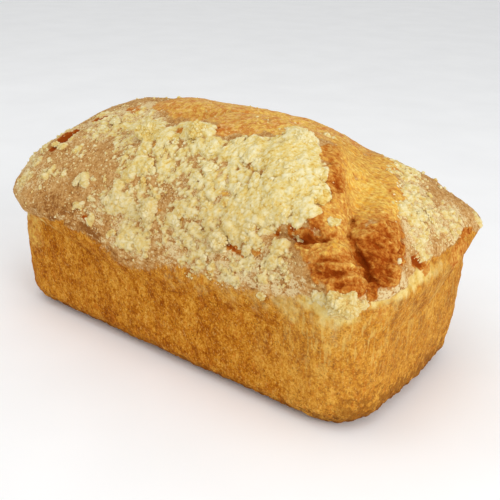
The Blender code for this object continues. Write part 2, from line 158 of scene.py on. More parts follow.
def ridge_field(points: Points, size: float, seed: int, run: Row) -> Values:
    """Crests of about 0.4 with hollows down to -0.6 between them, long along the run."""
    return 0.4 - 2.4 * np.abs(noise_field(drawn_out(points, run), size, seed))


def spot_field(points: Points, spots: Iterable[Row]) -> Values:
    """Largest share that any of the soft-edged spots gives each point.

    Args:
        points: Points in metres.
        spots: Middle, radius and share of each spot, in millimetres.

    Returns:
        One share for each point, 0 away from every spot.
    """
    total = np.zeros(len(points))
    for x, y, z, radius, share in spots:
        away = ((points / MM - (x, y, z)) ** 2).sum(axis=1) / radius ** 2
        total = np.maximum(total, share * np.exp(-0.7 * away ** 2))
    return total


def blend_field(points: Points, spots: Iterable[Row]) -> Values:
    """Blend of the spots' values, each counting the more the nearer it is.

    Args:
        points: Points in metres.
        spots: Middle, reach and value of each spot, in millimetres.

    Returns:
        One value for each point.
    """
    total = np.full(len(points), 1e-9)
    value = np.full(len(points), 0.5e-9)
    for x, y, z, reach, amount in spots:
        share = np.exp(-((points / MM - (x, y, z)) ** 2).sum(axis=1) / reach ** 2)
        total += share
        value += share * amount
    return value / total


def line_field(points: Points, line: Sequence[Row]) -> Values:
    """Height that one line of relief adds at each point.

    Args:
        points: Points in metres.
        line: Place, half width and height along the line, in millimetres.

    Returns:
        One height for each point, in metres.
    """
    nearest = np.full(len(points), np.inf)
    width = np.full(len(points), line[0][3] * MM)
    height = np.zeros(len(points))
    for start, end in zip(line[:-1], line[1:]):
        a, b = np.array(start) * MM, np.array(end) * MM
        span = b[:3] - a[:3]
        share = np.clip((points - a[:3]) @ span / (span @ span), 0, 1)
        away = np.linalg.norm(points - (a[:3] + share[:, None] * span), axis=1)
        closer = away < nearest
        nearest = np.where(closer, away, nearest)
        width = np.where(closer, a[3] + share * (b[3] - a[3]), width)
        height = np.where(closer, a[4] + share * (b[4] - a[4]), height)
    return height * np.exp(-(nearest / width) ** 2)


def round_bumps(theta: Values, items: Iterable[Row]) -> Values:
    """Sum of smooth bumps round the outline.

    Args:
        theta: Angles at which it is wanted, in radians.
        items: Angle, height and half width of each bump, in degrees and millimetres.

    Returns:
        One height for each angle, in metres.
    """
    total = np.zeros_like(theta)
    for degrees, amount, half_width in items:
        turn = (theta - math.radians(degrees) + math.pi) % (2 * math.pi) - math.pi
        total += amount * MM * np.exp(-(turn / math.radians(half_width)) ** 2)
    return total


def cut_away(bm: bmesh.types.BMesh, gone: Values) -> Values:
    """Delete the faces that lie wholly in the part that goes.

    Args:
        bm: The mesh.
        gone: Whether each of its vertices goes.

    Returns:
        Numbers that the vertices which are left had before.
    """
    key = bm.verts.layers.int.new("number")
    for number, vert in enumerate(bm.verts):
        vert[key] = number
    faces = [f for f in bm.faces if all(gone[v[key]] for v in f.verts)]
    bmesh.ops.delete(bm, geom=faces, context="FACES")
    left = np.array([v[key] for v in bm.verts])
    bm.verts.layers.int.remove(key)
    return left


def raise_surface(bm: bmesh.types.BMesh, heights: Values, lowest: float = 0.0) -> None:
    """Move each vertex above the base along its normal.

    Args:
        bm: The mesh, with its normals up to date.
        heights: How far each vertex moves, in metres.
        lowest: Height below which none of them sinks.
    """
    for vert, height in zip(bm.verts, heights):
        if vert.co.z > BASE_LEVEL:
            vert.co += vert.normal * float(height)
            vert.co.z = max(vert.co.z, lowest)


def mesh_from(name: str, bm: bmesh.types.BMesh) -> bpy.types.Mesh:
    """Turn a bmesh into a mesh, and free it.

    Args:
        name: Name of the mesh.
        bm: The bmesh.

    Returns:
        The new mesh.
    """
    mesh = bpy.data.meshes.new(name)
    bm.to_mesh(mesh)
    bm.free()
    return mesh


def add_values(mesh: bpy.types.Mesh, values: dict[Mask, Values]) -> None:
    """Give a mesh what its finish reads.

    Args:
        mesh: The mesh.
        values: One value a vertex for each mask.
    """
    for mask, numbers in values.items():
        layer = mesh.attributes.new(mask.value, "FLOAT", "POINT")
        layer.data.foreach_set("value", np.array(numbers, np.float32))


def face_values(mesh: bpy.types.Mesh, name: str, width: int) -> Values:
    """Read one property of every face.

    Args:
        mesh: The mesh.
        name: The property's name.
        width: How many numbers it has.

    Returns:
        One row of numbers for each face.
    """
    numbers = np.zeros(len(mesh.polygons) * width)
    mesh.polygons.foreach_get(name, numbers)
    return numbers.reshape(-1, width)


def face_mask(mesh: bpy.types.Mesh, mask: Mask) -> Values:
    """Read a mask at the first corner of every face.

    Args:
        mesh: The mesh.
        mask: The mask.

    Returns:
        One value for each face.
    """
    numbers = np.zeros(len(mesh.vertices))
    mesh.attributes[mask.value].data.foreach_get("value", numbers)
    return numbers[[face.vertices[0] for face in mesh.polygons]]


def facing(place: Row, aim: Row) -> Matrix:
    """Matrix of a lamp or camera at a place that faces the aim."""
    turn = (Vector(aim) - Vector(place)).to_track_quat("-Z", "Y")
    return Matrix.Translation(place) @ turn.to_matrix().to_4x4()


def mesh_object(name: str, mesh: bpy.types.Mesh, material: bpy.types.Material) -> bpy.types.Object:
    """Make a finished piece that rides on the loaf's one body.

    Args:
        name: Name of the piece.
        mesh: Its mesh, in place.
        material: Its finish.

    Returns:
        The new object.
    """
    mesh.name = name
    mesh.shade_smooth()
    mesh.materials.clear()
    mesh.materials.append(material)
    piece = bpy.data.objects.new(name, mesh)
    bpy.context.scene.collection.objects.link(piece)
    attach(piece, "root")
    return piece


# ------------------------------------------------------------------ finishes
class Socket:
    """A value in a material; arithmetic on it adds Math nodes."""

    def __init__(self, paint: "Paint", link: bpy.types.NodeSocket) -> None:
        """Wrap one output of a node."""
        self.paint = paint
        self.link = link

    def math(self, operation: str, *values: "Socket | float") -> "Socket":
        """Add a Math node that works on these values."""
        return self.paint.node("ShaderNodeMath", {"operation": operation},
                               dict(enumerate(values)))

    def __add__(self, other: "Socket | float") -> "Socket":
        """Sum."""
        return self.math("ADD", self, other)

    def __radd__(self, other: float) -> "Socket":
        """Sum, number first."""
        return self.math("ADD", other, self)

    def __sub__(self, other: "Socket | float") -> "Socket":
        """Difference."""
        return self.math("SUBTRACT", self, other)

    def __rsub__(self, other: float) -> "Socket":
        """Difference, number first."""
        return self.math("SUBTRACT", other, self)

    def __mul__(self, other: "Socket | float") -> "Socket":
        """Product."""
        return self.math("MULTIPLY", self, other)

    def __rmul__(self, other: float) -> "Socket":
        """Product, number first."""
        return self.math("MULTIPLY", other, self)

    def step(self, low: float, high: float) -> "Socket":
        """Ease from 0 at low to 1 at high; low may be the larger."""
        return self.paint.node("ShaderNodeMapRange", {"interpolation_type": "SMOOTHSTEP"},
                               {0: self, 1: low, 2: high, 3: 0.0, 4: 1.0})

    def at_least(self, other: "Socket | float") -> "Socket":
        """The larger of the two."""
        return self.math("MAXIMUM", self, other)


@dataclass(frozen=True)
class Flecks:
    """Flecks of another colour, where a noise is strong."""

    colour: Colour
    share: float  # how much of that colour they take on
    step: tuple[float, float]  # strength of the noise at which they start and are full
    size: float  # in millimetres
    detail: float
    seed: float
    stretch: Row = (1, 1, 1)


class Paint:
    """One material's node tree, and short ways to fill it."""

    def __init__(self, name: str) -> None:
        """Start a material with a Principled shader.

        Args:
            name: Name of the material.
        """
        self.material = bpy.data.materials.new(name)
        self.material.use_nodes = True
        self.tree = self.material.node_tree
        self.shader = self.tree.nodes["Principled BSDF"]
        self.place = self.node("ShaderNodeTexCoord", output="Object")

    def node(self, kind: str, settings: dict | None = None,
             inputs: dict | None = None, output: int | str = 0) -> Socket:
        """Add a node.

        Args:
            kind: Its Blender type.
            settings: Its settings, set first; "stops" fills a colour ramp.
            inputs: Values or sockets for its inputs, by name or number.
            output: Which of its outputs is wanted.

        Returns:
            That output.
        """
        made = self.tree.nodes.new(kind)
        for key, value in (settings or {}).items():
            if key == "stops":
                ramp = made.color_ramp
                while len(ramp.elements) < len(value):
                    ramp.elements.new(0.5)
                for element, (place, colour) in zip(ramp.elements, value):
                    element.position, element.color = place, colour
            else:
                setattr(made, key, value)
        for key, value in (inputs or {}).items():
            if isinstance(value, Socket):
                self.tree.links.new(value.link, made.inputs[key])
            else:
                made.inputs[key].default_value = value
        return Socket(self, made.outputs[output])

    def mask(self, mask: Mask) -> Socket:
        """One of the mesh's own values."""
        return self.node("ShaderNodeAttribute", {"attribute_name": mask.value}, output="Fac")

    def axis(self, name: str) -> Socket:
        """One coordinate of the place on the object, in metres."""
        return self.node("ShaderNodeSeparateXYZ", None, {0: self.place}, output=name)

    def grain(self, size: float, detail: float = 2.0, stretch: Row = (1, 1, 1),
              seed: float = 0.0) -> Socket:
        """Noise of about 0.3 to 0.7.

        Args:
            size: Size of its swells, in millimetres.
            detail: How many finer layers it has.
            stretch: How many times longer it is along each axis.
            seed: Number that sets it apart from other noise.

        Returns:
            The noise.
        """
        place = self.node("ShaderNodeMapping", None,
                          {"Vector": self.place, "Location": (seed, seed * 0.7, seed * 0.3),
                           "Scale": tuple(1 / s for s in stretch)})
        return self.node("ShaderNodeTexNoise", None,
                         {"Vector": place, "Scale": 1 / (size * MM), "Detail": detail,
                          "Roughness": 0.55})

    def cells(self, size: float, seed: float = 0.0) -> Socket:
        """Distance to the middle of the nearest cell.

        Args:
            size: Size of the cells, in millimetres.
            seed: Number that sets them apart from other cells.

        Returns:
            The distance, in cells.
        """
        place = self.node("ShaderNodeMapping", None,
                          {"Vector": self.place, "Location": (seed, seed * 0.6, seed * 0.2)})
        return self.node("ShaderNodeTexVoronoi", None,
                         {"Vector": place, "Scale": 1 / (size * MM), "Randomness": 1.0})

    def ramp(self, value: Socket, stops: Stops) -> Socket:
        """Colour by value."""
        return self.node("ShaderNodeValToRGB", {"stops": stops}, {0: value})

    def mix(self, share: Socket | float, first: Socket | Colour,
            second: Socket | Colour) -> Socket:
        """Blend two colours; share is that of the second."""
        return self.node("ShaderNodeMix", {"data_type": "RGBA"},
                         {0: share, 6: first, 7: second}, output=2)

    def flecked(self, colour: Socket, flecks: Flecks, *where: Socket) -> Socket:
        """Strew flecks over a colour.

        Args:
            colour: The colour.
            flecks: What the flecks are like.
            where: Shares of them that are there, which are multiplied.

        Returns:
            The new colour.
        """
        share = self.grain(flecks.size, flecks.detail, flecks.stretch, flecks.seed)
        share = share.step(*flecks.step)
        for place in where:
            share = share * place
        return self.mix(share * flecks.share, colour, flecks.colour)

    def finish(self, colour: Socket, roughness: Socket | float, height: Socket,
               bump: float, fixed: dict[str, float]) -> bpy.types.Material:
        """Join colour, roughness and relief to the shader.

        Args:
            colour: Base colour.
            roughness: Roughness.
            height: Fine relief, in millimetres.
            bump: Strength of that relief.
            fixed: Values of other sockets of the shader.

        Returns:
            The material.
        """
        normal = self.node("ShaderNodeBump", None,
                           {"Strength": bump, "Distance": MM, "Height": height})
        self.tree.links.new(colour.link, self.shader.inputs["Base Color"])
        self.tree.links.new(normal.link, self.shader.inputs["Normal"])
        if isinstance(roughness, Socket):
            self.tree.links.new(roughness.link, self.shader.inputs["Roughness"])
        else:
            self.shader.inputs["Roughness"].default_value = roughness
        for key, value in fixed.items():
            self.shader.inputs[key].default_value = value
        return self.material


@dataclass(frozen=True)
class CrustFinish:
    """Finish of the loaf: tin-baked wall, tan and golden crust, torn crumb."""

    wall: Stops = ((0.40, rgb(140, 70, 3)), (0.468, rgb(174, 101, 15)),
                   (0.53, rgb(200, 132, 35)), (0.60, rgb(220, 160, 64)))
    # painted shade in the wall's pores
    wall_pore_shade: Colour = rgb(100, 46, 2)
    # painted light on the wall towards the right end
    wall_painted_light: Colour = rgb(214, 172, 86)
    wall_cream: Stops = ((0.40, rgb(206, 156, 64)), (0.56, rgb(224, 190, 104)),
                         (0.74, rgb(234, 212, 140)))
    wall_foot: Colour = rgb(96, 46, 4)
    wall_burnt: Colour = rgb(132, 78, 22)
    # pale specks: painted highlights of fine grains catching the light
    specks: Flecks = Flecks(rgb(234, 182, 98), 0.45, (0.58, 0.68), 0.9, 2, 49, (1, 1, 1.3))
    orange: Flecks = Flecks(rgb(196, 112, 30), 0.40, (0.55, 0.66), 2.0, 3, 51, (1, 1, 1.8))
    drips: Flecks = Flecks(rgb(224, 190, 104), 0.5, (0.50, 0.64), 1.5, 2, 47, (1, 1, 6))
    charred: Flecks = Flecks(rgb(96, 46, 4), 0.8, (0.54, 0.62), 1.7, 2, 53)
    tan: Stops = ((0.36, rgb(138, 86, 38)), (0.45, rgb(176, 125, 66)),
                  (0.54, rgb(197, 151, 91)), (0.63, rgb(213, 176, 119)))
    flour: Colour = rgb(224, 202, 152)
    baked: Stops = ((0.0, rgb(238, 208, 104)), (0.25, rgb(228, 184, 86)),
                    (0.5, rgb(208, 148, 68)), (0.75, rgb(186, 109, 36)), (1.0, rgb(148, 64, 7)))
    blush: Flecks = Flecks(rgb(196, 106, 30), 0.60, (0.46, 0.58), 3.2, 4, 35)
    flakes: Flecks = Flecks(rgb(240, 198, 130), 0.60, (0.53, 0.63), 1.4, 3, 37)
    amber: Flecks = Flecks(rgb(228, 156, 30), 0.55, (0.50, 0.62), 2.4, 3, 43, (1.5, 0.6, 1))
    crumb: Flecks = Flecks(rgb(245, 216, 126), 0.6, (0.53, 0.64), 1.8, 3, 45, (1.5, 0.6, 1))
    # low stop: painted shade in the hollows of the crumble's powder
    crumble: Stops = ((0.0, rgb(192, 146, 76)), (0.42, rgb(216, 194, 126)),
                      (0.9, rgb(228, 214, 158)))
    matt: float = 0.80  # roughness of crust and wall
    sheen: float = 0.32  # how much smoother the golden crust is
    bump: float = 0.55
    specular: float = 0.06

    def _wall(self, paint: Paint, pores: Socket) -> Socket:
        """Colour of the tin-baked wall.

        Args:
            paint: The material that is being made.
            pores: Where the wall's pores are.

        Returns:
            The colour.
        """
        along, height = paint.axis("X"), paint.axis("Z")
        # painted light: lighter towards the right end, where more light falls, and a little deeper
        # on that end's own wall
        right = (along + (paint.grain(10, 2, (1, 1, 2.5), 8.0) - 0.5) * 0.09).step(0.045, 0.090)
        end = along.step(0.098, 0.106)
        tone = (paint.grain(4.5, 4, (1, 1, 1.4), 3.0) * 0.31
                + paint.grain(1.2, 3, (1, 1, 1.3), 5.0) * 0.33
                + paint.grain(0.6, 2, (1, 1, 1.2), 6.0) * 0.24
                + paint.grain(12.0, 2, (1, 1, 1.8), 7.0) * 0.12 + right * 0.018 - end * 0.036)
        colour = paint.ramp(tone, self.wall)
        # painted shade in the pores
        colour = paint.mix(pores * 0.68, colour, self.wall_pore_shade)
        # painted light towards the right end
        colour = paint.mix(right * 0.16, colour, self.wall_painted_light)
        # pale specks are painted highlights on fine grains; the orange flecks are the wall's own
        # mottling
        colour = paint.flecked(paint.flecked(colour, self.specks), self.orange)
        # hardly baked under the lip, with pale drips from there
        cream = paint.mask(Mask.CREAM)
        streaks = paint.grain(2.6, 4, (1, 1, 1.5), 2.0)
        pale = paint.ramp(streaks + cream * 0.20, self.wall_cream)
        colour = paint.mix((cream * 1.2 + (streaks - 0.5) * 0.5).step(0.12, 0.95) * 0.9,
                           colour, pale)
        colour = paint.flecked(colour, self.drips, right, height.step(0.014, 0.046),
                               1 - end * 0.6)
        # dark foot, burnt at the right end and charred in spots towards it
        foot = (height + (paint.grain(3, 3) - 0.5) * 0.016).step(0.0085, 0.0030)
        colour = paint.mix(foot * 0.55, colour, self.wall_foot)
        burnt = ((height + (paint.grain(3.0, 3, seed=39.0) - 0.5) * 0.050).step(0.0175, 0.0085)
                 * along.step(0.084, 0.095))
        colour = paint.mix(burnt * 0.68, colour, self.wall_burnt)
        return paint.flecked(colour, self.charred, height.step(0.0150, 0.0045),
                             along.step(0.020, 0.090))

    def _crust(self, paint: Paint, fine: Socket, broad: Socket) -> Socket:
        """Colour of the tan crust over the wall, dusted with flour.

        Args:
            paint: The material that is being made.
            fine: Fine noise.
            broad: Broad noise.

        Returns:
            The colour.
        """
        low = paint.mask(Mask.EDGE).step(8.0, 2.0)
        streaks = (paint.grain(1.3, 3, (4.0, 1, 1.2), 33.0) - 0.5) * low
        # the fine relief's height darkens the tan in the clefts and lightens it on the lips:
        # painted shade and light
        tone = (broad * 0.3 + paint.grain(1.5, 3, seed=15.0) * 0.4 + fine * 0.3
                + streaks * 0.4 - paint.mask(Mask.DUSKY) * 0.10
                + paint.mask(Mask.CRUMBLE) * 0.05 + paint.mask(Mask.HEIGHT) * 0.05)
        colour = paint.ramp(tone, self.tan)
        specks = (paint.grain(0.8, 2, seed=27.0) * 0.6 + paint.grain(3.0, 3, seed=25.0) * 0.4
                  + streaks * 0.6 + paint.mask(Mask.FLOUR) * 0.16).step(0.55, 0.66)
        return paint.mix(specks * 0.85, colour, self.flour)

    def material(self) -> bpy.types.Material:
        """Make the loaf's material.

        Returns:
            The material.
        """
        paint = Paint("loaf_crust")
        fine = paint.grain(0.7, 2, seed=17.0)
        broad = paint.grain(5.5, 3, seed=13.0)
        ragged = paint.grain(2.0, 3, seed=19.0)
        edge = (paint.mask(Mask.EDGE) + (ragged - 0.5) * 3.0).step(-0.6, 0.6)
        pores = (paint.cells(1.6, 1.0).step(0.26, 0.10)
                 * paint.grain(5.5, 2, seed=9.0).step(0.46, 0.58))
        pores = pores.at_least(paint.cells(0.9, 2.0).step(0.34, 0.14) * 0.7
                               * paint.grain(3.0, 2, seed=41.0).step(0.48, 0.60))
        colour = paint.mix(edge, self._wall(paint, pores), self._crust(paint, fine, broad))
        # bare baked crust, darker in its hollows and lighter on its crests: painted shade and
        # light
        height = paint.mask(Mask.HEIGHT)
        bake = (paint.mask(Mask.BAKE) + (paint.grain(1.7, 4, (1, 0.7, 1), 29.0) - 0.5) * 1.2
                + (broad - 0.5) * 0.3 + (fine - 0.5) * 0.5
                - (height - paint.mask(Mask.TORN) * 0.72) * 0.24)
        golden = paint.mask(Mask.GLOSS).step(0.2, 0.8)
        baked = paint.ramp(bake - golden * 0.10, self.baked)
        baked = paint.flecked(paint.flecked(baked, self.blush, golden), self.flakes, golden)
        # amber and pale streaks in the yellow floor of the crack
        floor = paint.mask(Mask.TORN) * bake.step(0.62, 0.32)
        baked = paint.flecked(paint.flecked(baked, self.amber, floor), self.crumb, floor)
        colour = paint.mix((paint.mask(Mask.BAKED) + (ragged - 0.5) * 0.7).step(0.35, 0.6),
                           colour, baked)
        # crumble's powder, darker where the fine relief is low: painted shade in its hollows
        cover = (paint.mask(Mask.CRUMBLE) + (fine - 0.5) * 0.4
                 + (paint.grain(1.6, 2, seed=21.0) - 0.5) * 0.5).step(0.42, 0.58)
        mass = height * 0.30 + (fine - 0.5) * 0.5 + (broad - 0.5) * 0.6 + 0.38
        colour = paint.mix(cover, colour, paint.ramp(mass, self.crumble))
        gloss = (paint.mask(Mask.GLOSS) * (1 - cover)).step(0.3, 0.9)
        relief = ((fine - 0.5) * 0.9 + (paint.grain(0.35, 2, seed=23.0) - 0.5) * 0.4
                  + (ragged - 0.5) * 1.1 - pores * (1 - edge) * 0.9)
        return paint.finish(colour, self.matt - gloss * self.sheen, relief, self.bump,
                            {"Specular IOR Level": self.specular})


@dataclass(frozen=True)
class CrumbleFinish:
    """Finish of the crumble: pale yellow, browner and painted in shade at its foot where it meets
    the crust, with painted shade in the joints between its nodules.
    """

    # low stops: painted shade in the joints between nodules; high stops: painted light on their
    # tops
    pale: Stops = ((0.08, rgb(204, 152, 60)), (0.27, rgb(222, 194, 110)),
                   (0.52, rgb(229, 213, 156)), (0.86, rgb(238, 228, 186)))
    # browning and painted shade at a crumb's foot
    toasted: Colour = rgb(204, 150, 66)
    # painted shade of the crumbs low on the loaf, where less light falls
    low_shade: Colour = rgb(207, 179, 126)
    low_shade_heights: Row = (0.096, 0.066)  # heights at which the painted shade of the lower crumbs starts and is full
    roughness: float = 0.85
    bump: float = 0.5
    specular: float = 0.06

    def material(self) -> bpy.types.Material:
        """Make the crumble's material.

        Returns:
            The material.
        """
        paint = Paint("crumble")
        fine = paint.grain(0.8, 3, seed=1.0)
        # painted shade in the nodules' joints and painted light on their tops, with fine noise and
        # each crumb's tint
        tone = (paint.mask(Mask.GRAIN) * 0.6 + (fine - 0.5) * 0.7
                + (paint.mask(Mask.TINT) - 0.5) * 0.3 + 0.1)
        colour = paint.ramp(tone, self.pale)
        # browner and painted in shade at the foot, where the crumb meets the crust
        toast = (paint.mask(Mask.TOAST) + (fine - 0.5) * 0.6).step(0.25, 1.0)
        colour = paint.mix(toast * 0.8, colour, self.toasted)
        # painted shade: duller towards the bottom of the loaf
        colour = paint.mix(paint.axis("Z").step(*self.low_shade_heights) * 0.30, colour, self.low_shade)
        relief = (fine - 0.5) * 0.8 + (paint.grain(0.35, 2, seed=3.0) - 0.5) * 0.4
        return paint.finish(colour, self.roughness, relief, self.bump,
                            {"Specular IOR Level": self.specular})


@dataclass(frozen=True)
class FloorFinish:
    """Plain pale floor."""

    pale: Stops = ((0.3, rgb(248, 249, 250)), (0.7, rgb(252, 253, 254)))
    mist: float = 60.0  # size of its hardly seen shades, in millimetres
    roughness: float = 0.8
    bump: float = 0.02
    specular: float = 0.2

    def material(self) -> bpy.types.Material:
        """Make the floor's material.

        Returns:
            The material.
        """
        paint = Paint("pale_floor")
        mist = paint.grain(self.mist)
        return paint.finish(paint.ramp(mist, self.pale), self.roughness, mist, self.bump,
                            {"Specular IOR Level": self.specular})


# ------------------------------------------------------------------ form of the loaf
@dataclass(frozen=True)
class LoafForm:
    """The loaf's smooth form, the same as the solid's.

    Bumps are written as their angle on the scaled plan and half width in degrees, with
    their height in millimetres between the two.
    """

    half_length: float = 0.100
    half_width: float = 0.0490
    corner_radius: float = 0.0212
    bottom_radius: float = 0.0122
    flare: float = 0.059  # how far the wall leans out, for each metre up
    rim_height: float = 0.042  # top of the flat wall
    overhang: float = 0.0030  # of the lip over the wall
    rise: float = 0.0085  # from the rim to the lip's outermost line
    edge_height: float = 0.0105  # of the rounded edge of the crown
    edge_width: float = 0.0200
    centre_rise: float = 0.004
    crown: Row = (57.0, 45.0, 38.0, 39.2, 39.6, 43.4, 42.6, 40.0, 37.0)  # left to right
    skew: float = 0.062  # how far the crest lies to the back
    across: Row = (2.63, 0.873)  # powers of the crown's profile across the loaf
    along: Row = (2.99, 0.740)  # the same along it
    rim_bumps: tuple[Row, ...] = ((-150, 10.0, 34), (35, 13.0, 26), (-98, -5.0, 20))
    overhang_bumps: tuple[Row, ...] = ((-150, 1.4, 32), (35, 2.6, 30), (-10, 2.0, 25),
                                       (-85, -1.0, 20), (-44, -1.2, 14), (150, 3.0, 40))
    waist_bumps: tuple[Row, ...] = ((-150, 2.2, 35), (32, -0.6, 22), (-10, 0.4, 25),
                                    (150, 1.2, 40))
    belly_bumps: tuple[Row, ...] = ((32, 1.6, 22),)
    rise_bumps: tuple[Row, ...] = ((35, 1.8, 26), (-10, 7.0, 22), (-44, 8.5, 15),
                                   (-98, -1.0, 18), (160, 4.5, 35))
    notch: float = 0.20  # how suddenly the lip springs from the wall, 0 to 1
    # its bumps have their height in thousandths
    notch_bumps: tuple[Row, ...] = ((-150, 500, 32), (35, -50, 28), (150, 600, 30))
    bulge: tuple[Row, ...] = ((0, 1.8, 26), (-90, 0.6, 35), (90, 0.6, 35), (180, -0.2, 26))
    edge_height_bumps: tuple[Row, ...] = ((-150, -8.5, 35), (35, -7.0, 32))
    edge_width_bumps: tuple[Row, ...] = ((-150, -10.0, 35), (35, -10.0, 32))
    round_end: float = 0.15  # row at which the bottom's rounding ends
    wall_end: float = 0.75  # row at which the lip starts
    ease: float = 0.18  # how much closer the cells lie near the edges
    lean: Row = (0.16, -0.16)  # the same towards the near corner

    def plan_point(self, u: Values, v: Values) -> tuple[Values, ...]:
        """Point of the base plan and its outward direction, for a point of the square.

        Args:
            u: Place along the loaf, -1 to 1.
            v: Place across it, -1 to 1.

        Returns:
            x, y and the direction's x and y.
        """
        inner_x = self.half_length - self.corner_radius
        inner_y = self.half_width - self.corner_radius
        px, py = u * self.half_length, v * self.half_width
        cx, cy = np.clip(px, -inner_x, inner_x), np.clip(py, -inner_y, inner_y)
        dx, dy = px - cx, py - cy
        reach = np.maximum(np.abs(dx), np.abs(dy))
        length = np.maximum(np.hypot(dx, dy), 1e-9)
        return cx + dx * reach / length, cy + dy * reach / length, dx / length, dy / length

    def direction(self, u: Values, v: Values) -> tuple[Values, ...]:
        """Which way the plan's edge faces from a point of the square.

        Args:
            u: Place along the loaf, -1 to 1.
            v: Place across it, -1 to 1.

        Returns:
            The larger of |u| and |v|, the direction's x and y, and its angle.
        """
        radius = np.maximum(np.maximum(np.abs(u), np.abs(v)), 1e-6)
        ex, ey, nx, ny = self.plan_point(u / radius, v / radius)
        return radius, nx, ny, np.arctan2(ey / self.half_width, ex / self.half_length)

    def side(self, u: Values, v: Values, row: Values) -> Points:
        """Points of the side.

        Args:
            u: Place along the loaf, -1 to 1.
            v: Place across it, -1 to 1.
            row: Place up the side, from 0 at the base's edge to 1 at the lip's outermost line.

        Returns:
            The points, in metres.
        """
        x, y, _, _ = self.plan_point(u, v)
        _, nx, ny, theta = self.direction(u, v)
        rim = self.rim_height + round_bumps(theta, self.rim_bumps)
        notch = np.clip(self.notch + round_bumps(theta, self.notch_bumps), 0, 1)
        turn = np.clip(row / self.round_end, 0, 1) * math.pi / 2
        climb = np.clip((row - self.round_end) / (self.wall_end - self.round_end), 0, 1)
        swing = np.clip((row - self.wall_end) / (1 - self.wall_end), 0, 1) * math.pi / 2
        out = (-self.bottom_radius * (1 - np.sin(turn))
               + self.flare * (self.rim_height - self.bottom_radius) * climb
               + round_bumps(theta, self.bulge)
               + round_bumps(theta, self.belly_bumps) * 4 * climb * (1 - climb)
               - round_bumps(theta, self.waist_bumps) * climb ** 3 * np.cos(swing)
               + (self.overhang + round_bumps(theta, self.overhang_bumps))
               * (notch * np.sin(swing) + (1 - notch) * (1 - np.cos(swing))))
        z = (self.bottom_radius * (1 - np.cos(turn)) + climb * (rim - self.bottom_radius)
             + (self.rise + round_bumps(theta, self.rise_bumps)) * (1 - np.cos(swing)))
        return np.stack([x + nx * out, y + ny * out, z], axis=-1)

    def top(self, u: Values, v: Values) -> Points:
        """Points of the crown, from the lip's outermost line inwards.

        Args:
            u: Place along the loaf, -1 to 1.
            v: Place across it, -1 to 1.

        Returns:
            The points, in metres.
        """
        x, y, _, _ = self.plan_point(u, v)
        radius, nx, ny, theta = self.direction(u, v)
        out = (self.flare * (self.rim_height - self.bottom_radius) + self.overhang
               + round_bumps(theta, self.overhang_bumps)
               + round_bumps(theta, self.bulge)) * radius ** 4
        ax = np.abs(u) * self.half_length - (self.half_length - self.corner_radius)
        ay = np.abs(v) * self.half_width - (self.half_width - self.corner_radius)
        depth = self.corner_radius - np.maximum(ax, ay)
        share = np.clip(depth / (self.edge_width + round_bumps(theta, self.edge_width_bumps)),
                        0, 1)
        edge = ((self.edge_height + round_bumps(theta, self.edge_height_bumps))
                * np.sqrt(np.clip(1 - (1 - share) ** 2, 0, 1)))
        lip = (self.rim_height + round_bumps(theta, self.rim_bumps)
               + self.rise + round_bumps(theta, self.rise_bumps))
        weight = (1 - (1 - u * u) * (1 - v * v)) ** 1.5
        level = lip * weight + (self.rim_height + self.rise + self.centre_rise) * (1 - weight)
        height = np.interp(u, np.linspace(-1, 1, len(self.crown)), self.crown) * MM
        across = np.clip(1 - np.abs(v - self.skew * (1 - v * v)) ** self.across[0], 0, 1)
        along = np.clip(1 - np.abs(u) ** self.along[0], 0, 1)
        crown = height * across ** self.across[1] * along ** self.along[1]
        return np.stack([x + nx * out, y + ny * out, level + edge + crown], axis=-1)

    def shell(self, cells_long: int, cells_wide: int, rows: Sequence[float]
              ) -> tuple[bmesh.types.BMesh, Points, Values]:
        """Lay a closed box of quads over the form.

        Args:
            cells_long: Quads along the loaf.
            cells_wide: Quads across it.
            rows: Rows of the side, from 0 to 1.

        Returns:
            The bmesh, its points and the angle of each round the plan.
        """
        bm = bmesh.new()
        bmesh.ops.create_cube(bm, size=2.0)
        for axis, cells in enumerate((cells_long, cells_wide, len(rows) - 1)):
            edges = [e for e in bm.edges
                     if abs((e.verts[0].co - e.verts[1].co)[axis]) > 1.9]
            bmesh.ops.subdivide_edges(bm, edges=edges, cuts=cells - 1, use_grid_fill=True)
        base = [f for f in bm.faces if all(v.co.z < -0.999 for v in f.verts)]
        bmesh.ops.dissolve_faces(bm, faces=base, use_verts=True)
        bm.verts.ensure_lookup_table()
        box = np.array([v.co for v in bm.verts])
        row = np.interp((box[:, 2] + 1) / 2, np.linspace(0, 1, len(rows)), rows)
        u = box[:, 0] + self.lean[0] * (1 - box[:, 0] ** 2)
        v = box[:, 1] + self.lean[1] * (1 - box[:, 1] ** 2)
        u, v = u + self.ease * np.sin(math.pi * u), v + self.ease * np.sin(math.pi * v)
        on_side = np.maximum(np.abs(box[:, 0]), np.abs(box[:, 1])) > 0.999
        points = np.where(on_side[:, None], self.side(u, v, row), self.top(u, v))
        for vert, point in zip(bm.verts, points):
            vert.co = point
        bm.normal_update()
        return bm, points, self.direction(u, v)[3]


